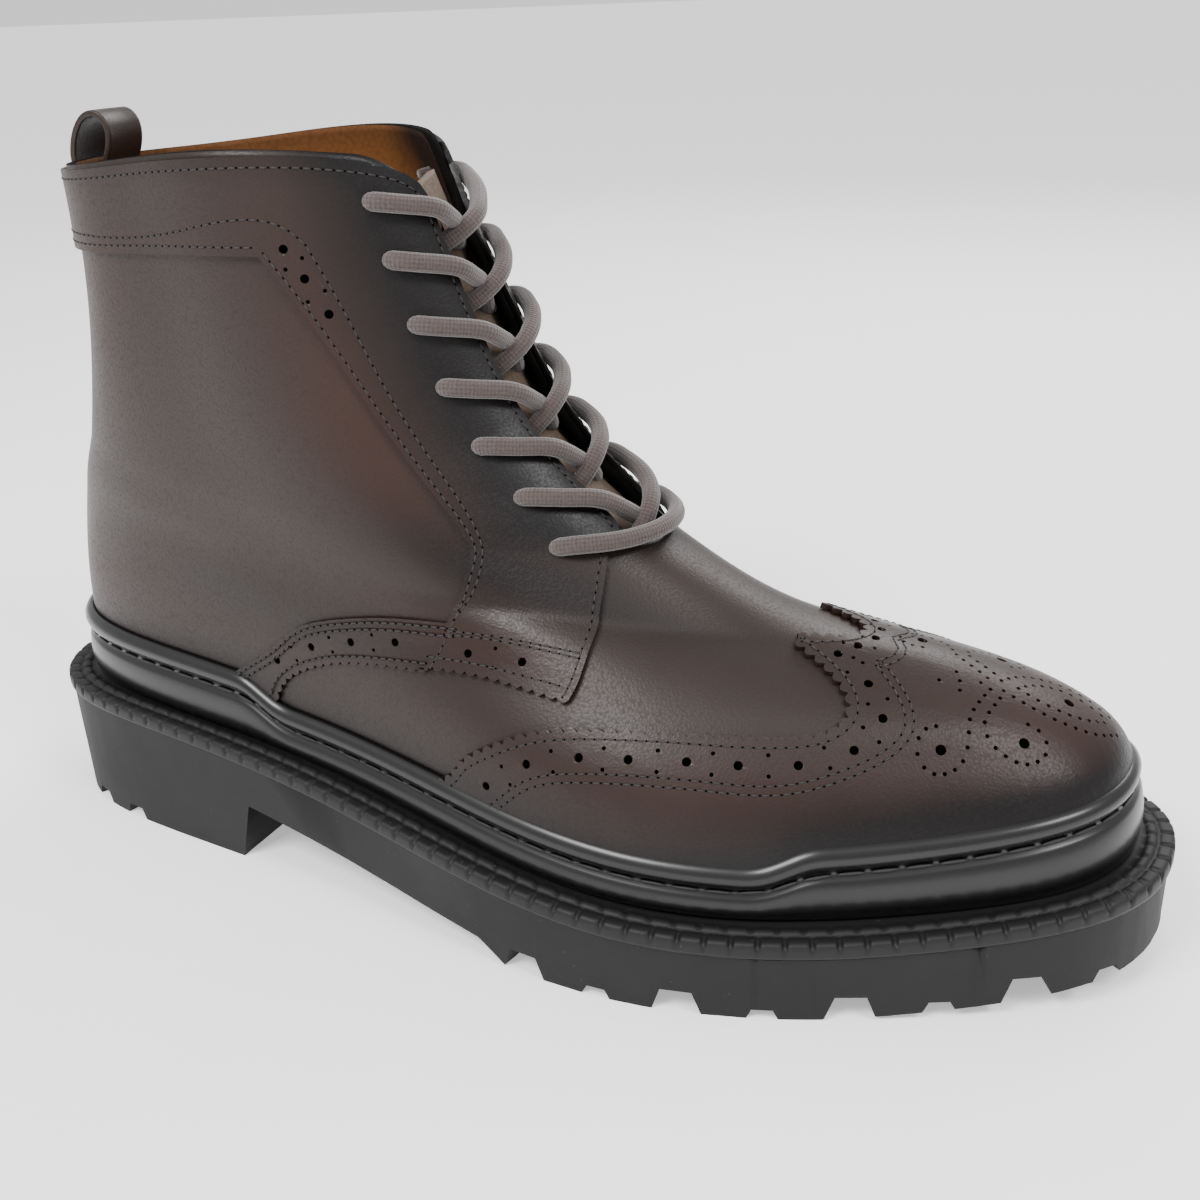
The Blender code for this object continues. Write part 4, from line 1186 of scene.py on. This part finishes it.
def add_rand_stitches():
    """Long stitches in the groove under the rand's rolled top."""
    t = np.linspace(0, 1, 1200)
    slope = np.linalg.norm(slopes(t, rand_top(t) / 2)[1], axis=1)
    line = np.column_stack([t, rand_top(t) - RAND_STITCH_DEPTH / slope])
    shape = bmesh.new()
    stitched(line, RAND_PITCH, 1.45 * MM, 0.1 * MM, 0.46, RAND_GIRTH, (8, 6), shape)
    return finish_piece("rand_stitches", shape, (DARK_THREAD,))


# The notched welt

WELT_THICK = 4 * MM
NOTCH_PITCH = 5.9 * MM
# Inwards from the sole's edge, and height over the welt's top, for the blocks and for the notches between
WELT_SECTION = (
    ("underside", 9.0, -4.0, 9.0, -4.0), ("side", 0.6, -4.0, 0.6, -4.0), ("side", 0.15, -3.7, 0.15, -3.7),
    ("side", 0.0, -3.0, 0.0, -3.0), ("side", 0.0, -1.6, 0.3, -1.9), ("side", 0.1, -0.6, 1.1, -1.5),
    ("top", 0.5, -0.1, 1.7, -1.25), ("top", 1.2, 0.1, 2.2, -1.1), ("top", 2.6, 0.12, 2.8, -0.8),
    ("top", 3.3, -0.1, 3.3, -0.45), ("top", 3.7, -0.55, 3.7, -0.6), ("top", 4.1, 0.1, 4.1, -0.35),
    ("top", 4.8, 0.45, 4.8, -0.05), ("top", 5.6, 0.45, 5.6, 0.05), ("top", 6.3, 0.05, 6.3, -0.35),
    ("top", 6.7, -0.5, 6.7, -0.5), ("top", 8.0, -0.2, 8.0, -0.2), ("top", 12.0, -0.2, 12.0, -0.2),
)


def add_welt():
    fine = np.linspace(0, 1, 4001)
    edge = sole_edge(fine)
    run = run_along(edge)
    notches = int(run[-1] / NOTCH_PITCH)
    each = 12
    columns = notches * each
    rows = len(WELT_SECTION) - 1
    shape, flat = flat_sheet(columns, rows)
    place = flat[:, 0] * run[-1]
    row = np.round(flat[:, 1] * rows).astype(int)
    lean = np.where(row >= 10, 0.30, 0.0)
    phase = np.mod(flat[:, 0] * notches + lean, 1.0)
    width = np.where(row >= 10, 0.17, 0.11)
    notch = np.clip(1 - (np.abs(phase - 0.5) - width * 0.45) / (width * 0.55), 0, 1)
    table = np.array([values[1:] for values in WELT_SECTION])
    block = table[row, :2]
    cut = table[row, 2:]
    section = block + (cut - block) * notch[:, None]
    u = np.interp(place, run, fine)
    spot = sole_edge(u, section[:, 0] * MM)
    rim = sole_edge(u)
    level = sole_top(rim[:, 0]) + section[:, 1] * MM
    bend_to(shape, np.column_stack([spot, level]) + SHIFT)
    bmesh.ops.remove_doubles(shape, verts=shape.verts, dist=1e-6)
    bmesh.ops.recalc_face_normals(shape, faces=shape.faces)
    return finish_piece("welt_rim", shape, (WELT,), ("welt",))


OUTSOLE_INSET = (0.8 * MM, 1.6 * MM)
OUTSOLE_SLICES = [*range(2, 44, 3), *range(230, 312, 2)]


def add_outsole(node):
    """The sole's solid with its outline rounded and its edges softened."""
    shape = bmesh.new()
    shape.from_mesh(node.data)
    bmesh.ops.remove_doubles(shape, verts=shape.verts, dist=1e-5)
    for slice_x in OUTSOLE_SLICES:
        everything = shape.verts[:] + shape.edges[:] + shape.faces[:]
        point = (slice_x * MM + SHIFT[0], 0, 0)
        bmesh.ops.bisect_plane(shape, geom=everything, dist=1e-6, plane_co=point, plane_no=(1, 0, 0))
    fine = np.linspace(0, 1, 4001)
    upper_edge, lower_edge = (sole_edge(fine, inset) for inset in OUTSOLE_INSET)
    for vertex in shape.verts:
        spot = np.array(vertex.co) - SHIFT
        depth = np.clip(1 - spot[2] / (sole_top(spot[0]) - WELT_THICK), 0, 1)
        edge = upper_edge * (1 - depth) + lower_edge * depth
        away = np.hypot(edge[:, 0] - spot[0], edge[:, 1] - spot[1])
        if away.min() < 2 * MM:
            vertex.co.xy = edge[away.argmin()] + SHIFT[:2]
    piece = finish_piece("lug_sole", shape, (SOLE,), ("outsole",))
    round_edges(piece, 0.9 * MM, 3, 28)
    even_shading(piece)


# The laces

def add_tube(name, path, radii, finish, replaces=(), around=14):
    """A round cord through the points, with a map that runs round and along it."""
    path = np.asarray(path, float)
    count = len(path)
    run = run_along(path)
    ahead = np.gradient(path, axis=0)
    ahead /= np.linalg.norm(ahead, axis=1, keepdims=True)
    side = np.zeros_like(path)
    side[0] = np.cross(ahead[0], (0.3, 0.2, 0.9))
    for k in range(count):
        base = side[k - 1] if k else side[0]
        base = base - ahead[k] * (base @ ahead[k])
        side[k] = base / np.linalg.norm(base)
    up = np.cross(ahead, side)
    shape, flat = flat_sheet(around, count - 1)
    turn = flat[:, 0] * 2 * math.pi
    k = np.round(flat[:, 1] * (count - 1)).astype(int)
    radius = np.asarray(radii)[k]
    spot = path[k] + (side[k] * np.cos(turn)[:, None] + up[k] * np.sin(turn)[:, None]) * radius[:, None]
    own = shape.loops.layers.uv.new("cord")
    maps = dict(zip(range(len(flat)), np.column_stack([flat[:, 0], run[k]])))
    shape.verts.index_update()
    for face in shape.faces:
        for loop in face.loops:
            loop[own].uv = maps[loop.vert.index]
    bend_to(shape, spot)
    bmesh.ops.remove_doubles(shape, verts=shape.verts, dist=1e-7)
    bmesh.ops.holes_fill(shape, edges=[edge for edge in shape.edges if edge.is_boundary], sides=0)
    bmesh.ops.recalc_face_normals(shape, faces=shape.faces)
    return finish_piece(name, shape, (finish,), replaces)


def add_laces():
    """One lace: over each facing into its eyelet, under it, and out over the throat again."""
    over = TOP_SKIN + LACE * 0.46
    pieces = []
    for side in (-1, 1):
        for row in range(6):
            t0, v0 = eyelet_place(side, row)
            t1, v1 = eyelet_place(-side, row + 1)
            edge0 = GAP_START if side < 0 else 1 - GAP_START
            edge1 = 1 - edge0
            drop = v0 - v1
            sign = -side
            lift = LACE * (0.62 if side > 0 else -0.38)
            points = [
                on_boot(t0 - 0.002 * sign, v0, -5.5 * MM),
                on_boot(t0 - 0.002 * sign, v0, -2.0 * MM),
                on_boot(t0, v0, 0.6 * MM),
                on_boot(t0 + 0.010 * sign, v0 - 0.02 * drop, over * 0.95),
                on_boot(t0 + 0.030 * sign, v0 - 0.06 * drop, over * 1.12),
                on_boot(edge0 - 0.006 * sign, v0 - 0.16 * drop, over * 1.15 + 0.3 * MM),
                on_boot(edge0 + 0.012 * sign, v0 - 0.28 * drop, over * 0.8 + lift * 0.5),
                on_boot(0.5, v0 - 0.44 * drop, LACE * 0.1 + lift),
                on_boot(edge1 - 0.016 * sign, v0 - 0.62 * drop, -LACE * 0.62 + lift * 0.5),
                on_boot(edge1 + 0.004 * sign, v0 - 0.74 * drop, -WALL - LACE * 0.55),
                on_boot(edge1 + 0.03 * sign, v0 - 0.88 * drop, -WALL - LACE * 0.6),
                on_boot(t1, v1, -WALL - LACE * 0.5),
            ]
            path = smooth_line(points, 72)
            radii = np.full(72, LACE / 2)
            radii[:10] = LACE / 2 * np.interp(np.arange(10), (0, 4, 9), (0.72, 0.74, 1.0))
            pieces.append((path, radii))
    t0, v0 = eyelet_place(-1, 6)
    t1, v1 = eyelet_place(1, 6)
    points = [
        on_boot(t0 - 0.002, v0, -5.5 * MM), on_boot(t0 - 0.002, v0, -2 * MM), on_boot(t0, v0, 0.6 * MM),
        on_boot(t0 + 0.010, v0 + 0.002, over * 0.95),
        on_boot(t0 + 0.04, v0 + 0.006, over * 1.1), on_boot(0.5, v0 + 0.012, over * 1.0),
        on_boot(t1 - 0.04, v0 + 0.006, over * 1.1), on_boot(t1 - 0.010, v1 + 0.002, over * 0.95),
        on_boot(t1, v1, 0.6 * MM), on_boot(t1 + 0.002, v1, -2 * MM), on_boot(t1 + 0.002, v1, -5.5 * MM),
    ]
    path = smooth_line(points, 80)
    radii = np.full(80, LACE / 2)
    radii[:9] *= np.interp(np.arange(9), (0, 4, 8), (0.72, 0.74, 1.0))
    radii[-9:] *= np.interp(np.arange(9), (0, 4, 8), (1.0, 0.74, 0.72))
    pieces.append((path, radii))
    for k, (path, radii) in enumerate(pieces):
        first = ("lace",) if k == 0 else ()
        add_tube(f"lace_{k + 1}", path, radii, LACING, first)


# Tongue, pull loop and zip

TONGUE_SPREAD = 0.072
TONGUE_SAG = 5 * MM
TONGUE_THICK = 2.2 * MM


def add_tongue():
    columns = 40
    rows = 70
    shape, flat = flat_sheet(columns, rows)
    across = flat[:, 0] * 2 - 1
    rise = flat[:, 1]
    v = THROAT_LEVEL - 0.05 + (0.975 - THROAT_LEVEL + 0.05) * rise
    u = 0.5 + across * TONGUE_SPREAD
    ripple = 0.5 * np.sin(rise * 19 + across) * gauss(across, 0.2, 0.7)
    depth = WALL + 0.9 * MM + TONGUE_SAG * rise * np.cos(across * math.pi / 2) + ripple * MM
    spot = upper_point(u, v) - upper_normal(u, v) * depth[:, None] + SHIFT
    bend_to(shape, spot)
    piece = finish_piece("tongue_leather", shape, (TAUPE,), ("tongue",))
    thicken(piece, TONGUE_THICK)


LOOP_WIDTH = 13 * MM
LOOP_THICK = 1.6 * MM
# Radius of the bend across the strip, which follows the heel
LOOP_BOW = 27 * MM
LOOP_CLEARANCE = 2.15 * MM
LOOP_PATH = ((-2.8, 1.5), (-1.6, 5.0), (1.2, 8.6), (4.4, 9.4), (6.4, 7.0), (5.6, 2.5))


def add_pull_loop():
    collar = upper_point(0.0, 1.0)
    outside = LOOP_CLEARANCE + LOOP_THICK / 2
    inside = -(WALL + 0.6 * MM + LOOP_THICK / 2)
    middle = []
    for v, height in ((0.90, outside), (0.95, outside), (0.995, outside)):
        middle.append(upper_point(0.0, v) + upper_normal(0.0, v) * height)
    middle += [collar + np.array([x, 0, z]) * MM for x, z in LOOP_PATH]
    for v in (0.985, 0.93):
        middle.append(upper_point(0.0, v) + upper_normal(0.0, v) * inside)
    long = 96
    bent = natural_spline(np.arange(len(middle)), np.array(middle))
    middle = bent(np.linspace(0, len(middle) - 1, long + 1))
    ahead = np.gradient(middle, axis=0)
    ahead /= np.linalg.norm(ahead, axis=1, keepdims=True)
    side = np.stack([-ahead[:, 2], ahead[:, 1], ahead[:, 0]], 1)
    shape, flat = flat_sheet(16, long)
    half = (flat[:, 0] - 0.5) * LOOP_WIDTH
    k = np.round(flat[:, 1] * long).astype(int)
    bow = half**2 / (2 * LOOP_BOW)
    spot = middle[k] + side[k] * (LOOP_THICK / 2) + np.stack([bow, half, bow * 0], 1) + SHIFT
    bend_to(shape, spot)
    piece = finish_piece("pull_loop_strip", shape, (UPPER,), ("pull_loop",))
    thicken(piece, LOOP_THICK)
    round_edges(piece, 0.4 * MM, 2, 60)


TAPE_WIDTH = 10.5 * MM
TOOTH_PITCH = 1.5 * MM
TOOTH_SIZE = (0.95 * MM, 2.6 * MM, 1.1 * MM)
TOOTH_OFFSET = 0.75 * MM


def add_zip():
    """The closed zip of the inner side: woven tape and two rows of meshed teeth."""
    line = smooth_line(ZIP_LINE, 120)
    shape, flat = flat_sheet(8, 119)
    k = np.round(flat[:, 1] * 119).astype(int)
    offset = (flat[:, 0] - 0.5) * TAPE_WIDTH
    spots = np.zeros((len(flat), 3))
    for column in np.unique(offset):
        mine = offset == column
        moved = sideways(line, column)
        spots[mine] = on_boot(moved[k[mine], 0], moved[k[mine], 1], 0.55 * MM)
    bend_to(shape, spots)
    tape = finish_piece("zip_tape", shape, (TAPE,), ("zip_chain",))
    thicken(tape, 0.4 * MM)
    shape = bmesh.new()
    places = paced(line, TOOTH_PITCH)
    spots = on_boot(places[:, 0], places[:, 1], 1.05 * MM)
    normals = slopes(places[:, 0], places[:, 1])[2]
    ahead = np.gradient(spots, axis=0)
    for k, (spot, normal) in enumerate(zip(spots, normals)):
        run = Vector(ahead[k]).normalized()
        out = Vector(normal)
        across = run.cross(out).normalized()
        side = TOOTH_OFFSET * (1 if k % 2 else -1)
        turn = Matrix((run, across, out)).transposed().to_4x4()
        size = Matrix.Diagonal((*TOOTH_SIZE, 1))
        bmesh.ops.create_cube(
            shape, size=1, matrix=Matrix.Translation(Vector(spot) + across * side) @ turn @ size
        )
    bmesh.ops.bevel(
        shape, geom=shape.edges[:], offset=0.18 * MM, segments=1, profile=0.5, affect="EDGES", material=-1
    )
    finish_piece("zip_teeth", shape, (METAL,), smooth=False)


# Camera and studio

SENSOR = 36
PHOTO_WIDTH = 1200


def add_camera():
    azimuth, elevation, roll, focal, distance = 24.88, 22.06, -2.31, 1458.69, 360.06 * MM
    target = np.array([178.29, -8.0, 76.76]) * MM + SHIFT
    middle_x, middle_y = 618.73, 589.46
    a = math.radians(azimuth)
    e = math.radians(elevation)
    r = math.radians(roll)
    back = np.array([math.sin(a) * math.cos(e), -math.cos(a) * math.cos(e), math.sin(e)])
    right = np.array([math.cos(a), math.sin(a), 0.0])
    up = np.cross(back, right)
    tilted = math.cos(r) * right + math.sin(r) * up
    risen = -math.sin(r) * right + math.cos(r) * up
    data = bpy.data.cameras.new("photo_camera")
    data.sensor_width = SENSOR
    data.lens = focal * SENSOR / PHOTO_WIDTH
    data.shift_x = 0.5 - middle_x / PHOTO_WIDTH
    data.shift_y = middle_y / PHOTO_WIDTH - 0.5
    data.clip_start = 0.01
    camera = bpy.data.objects.new("photo_camera", data)
    bpy.context.scene.collection.objects.link(camera)
    turn = Matrix(np.column_stack([tilted, risen, back]).tolist()).to_4x4()
    camera.matrix_world = Matrix.Translation(Vector(target + back * distance)) @ turn
    bpy.context.scene.camera = camera


def add_light(name, place, target, size, power, colour=(1, 1, 1)):
    data = bpy.data.lights.new(name, "AREA")
    data.shape = "RECTANGLE"
    data.size, data.size_y = size
    data.energy = power
    data.color = colour
    light = bpy.data.objects.new(name, data)
    bpy.context.scene.collection.objects.link(light)
    aim = Vector(target) - Vector(place)
    light.matrix_world = Matrix.Translation(Vector(place)) @ aim.to_track_quat("-Z", "Y").to_matrix().to_4x4()


def add_studio():
    made, tree, shader, place = new_material("pale_floor")
    speckle = texture(tree, "Noise", place, Scale=40.0).outputs["Fac"]
    tone = mix_colour(tree, speckle, (0.90, 0.90, 0.90), (0.93, 0.93, 0.93))
    tree.links.new(tone, shader.inputs["Base Color"])
    set_sockets(shader, {
        "Roughness": 0.9, "Specular IOR Level": 0.1,
        "Emission Color": (1, 1, 1, 1), "Emission Strength": 0.45,
    })
    mesh = bpy.data.meshes.new("floor")
    shape = bmesh.new()
    bmesh.ops.create_grid(shape, x_segments=1, y_segments=1, size=60)
    shape.to_mesh(mesh)
    shape.free()
    mesh.materials.append(made)
    floor = bpy.data.objects.new("floor", mesh)
    bpy.context.scene.collection.objects.link(floor)
    world = bpy.data.worlds.new("studio")
    bpy.context.scene.world = world
    world.use_nodes = True
    world.node_tree.nodes["Background"].inputs["Color"].default_value = (1, 1, 1, 1)
    world.node_tree.nodes["Background"].inputs["Strength"].default_value = 1.0
    add_light("key", (-0.25, -0.75, 0.95), (0, 0, 0.08), (0.5, 0.35), 15)
    add_light("toe_light", (0.75, -0.30, 0.95), (0.08, 0, 0.05), (0.4, 0.3), 8)
    add_light("back_light", (0.1, 0.9, 0.8), (0, 0, 0.1), (0.9, 0.4), 8)


def carry_over(frame):
    """Finishes for the solids that stay as they are."""
    for name, finish in (("insole", LINING), ("zip_slider", METAL), ("zip_pull", METAL)):
        mesh = frame["nodes"][name].data
        mesh.materials.clear()
        mesh.materials.append(finish)


add_camera()
add_shell()
add_wing_cap()
add_facings()
add_quarter_bands()
add_hole_shadow_discs()
add_seams()
add_rand()
add_rand_stitches()
add_welt()
add_outsole(frame["nodes"]["outsole"])
add_laces()
add_tongue()
add_pull_loop()
add_zip()
carry_over(frame)
add_studio()
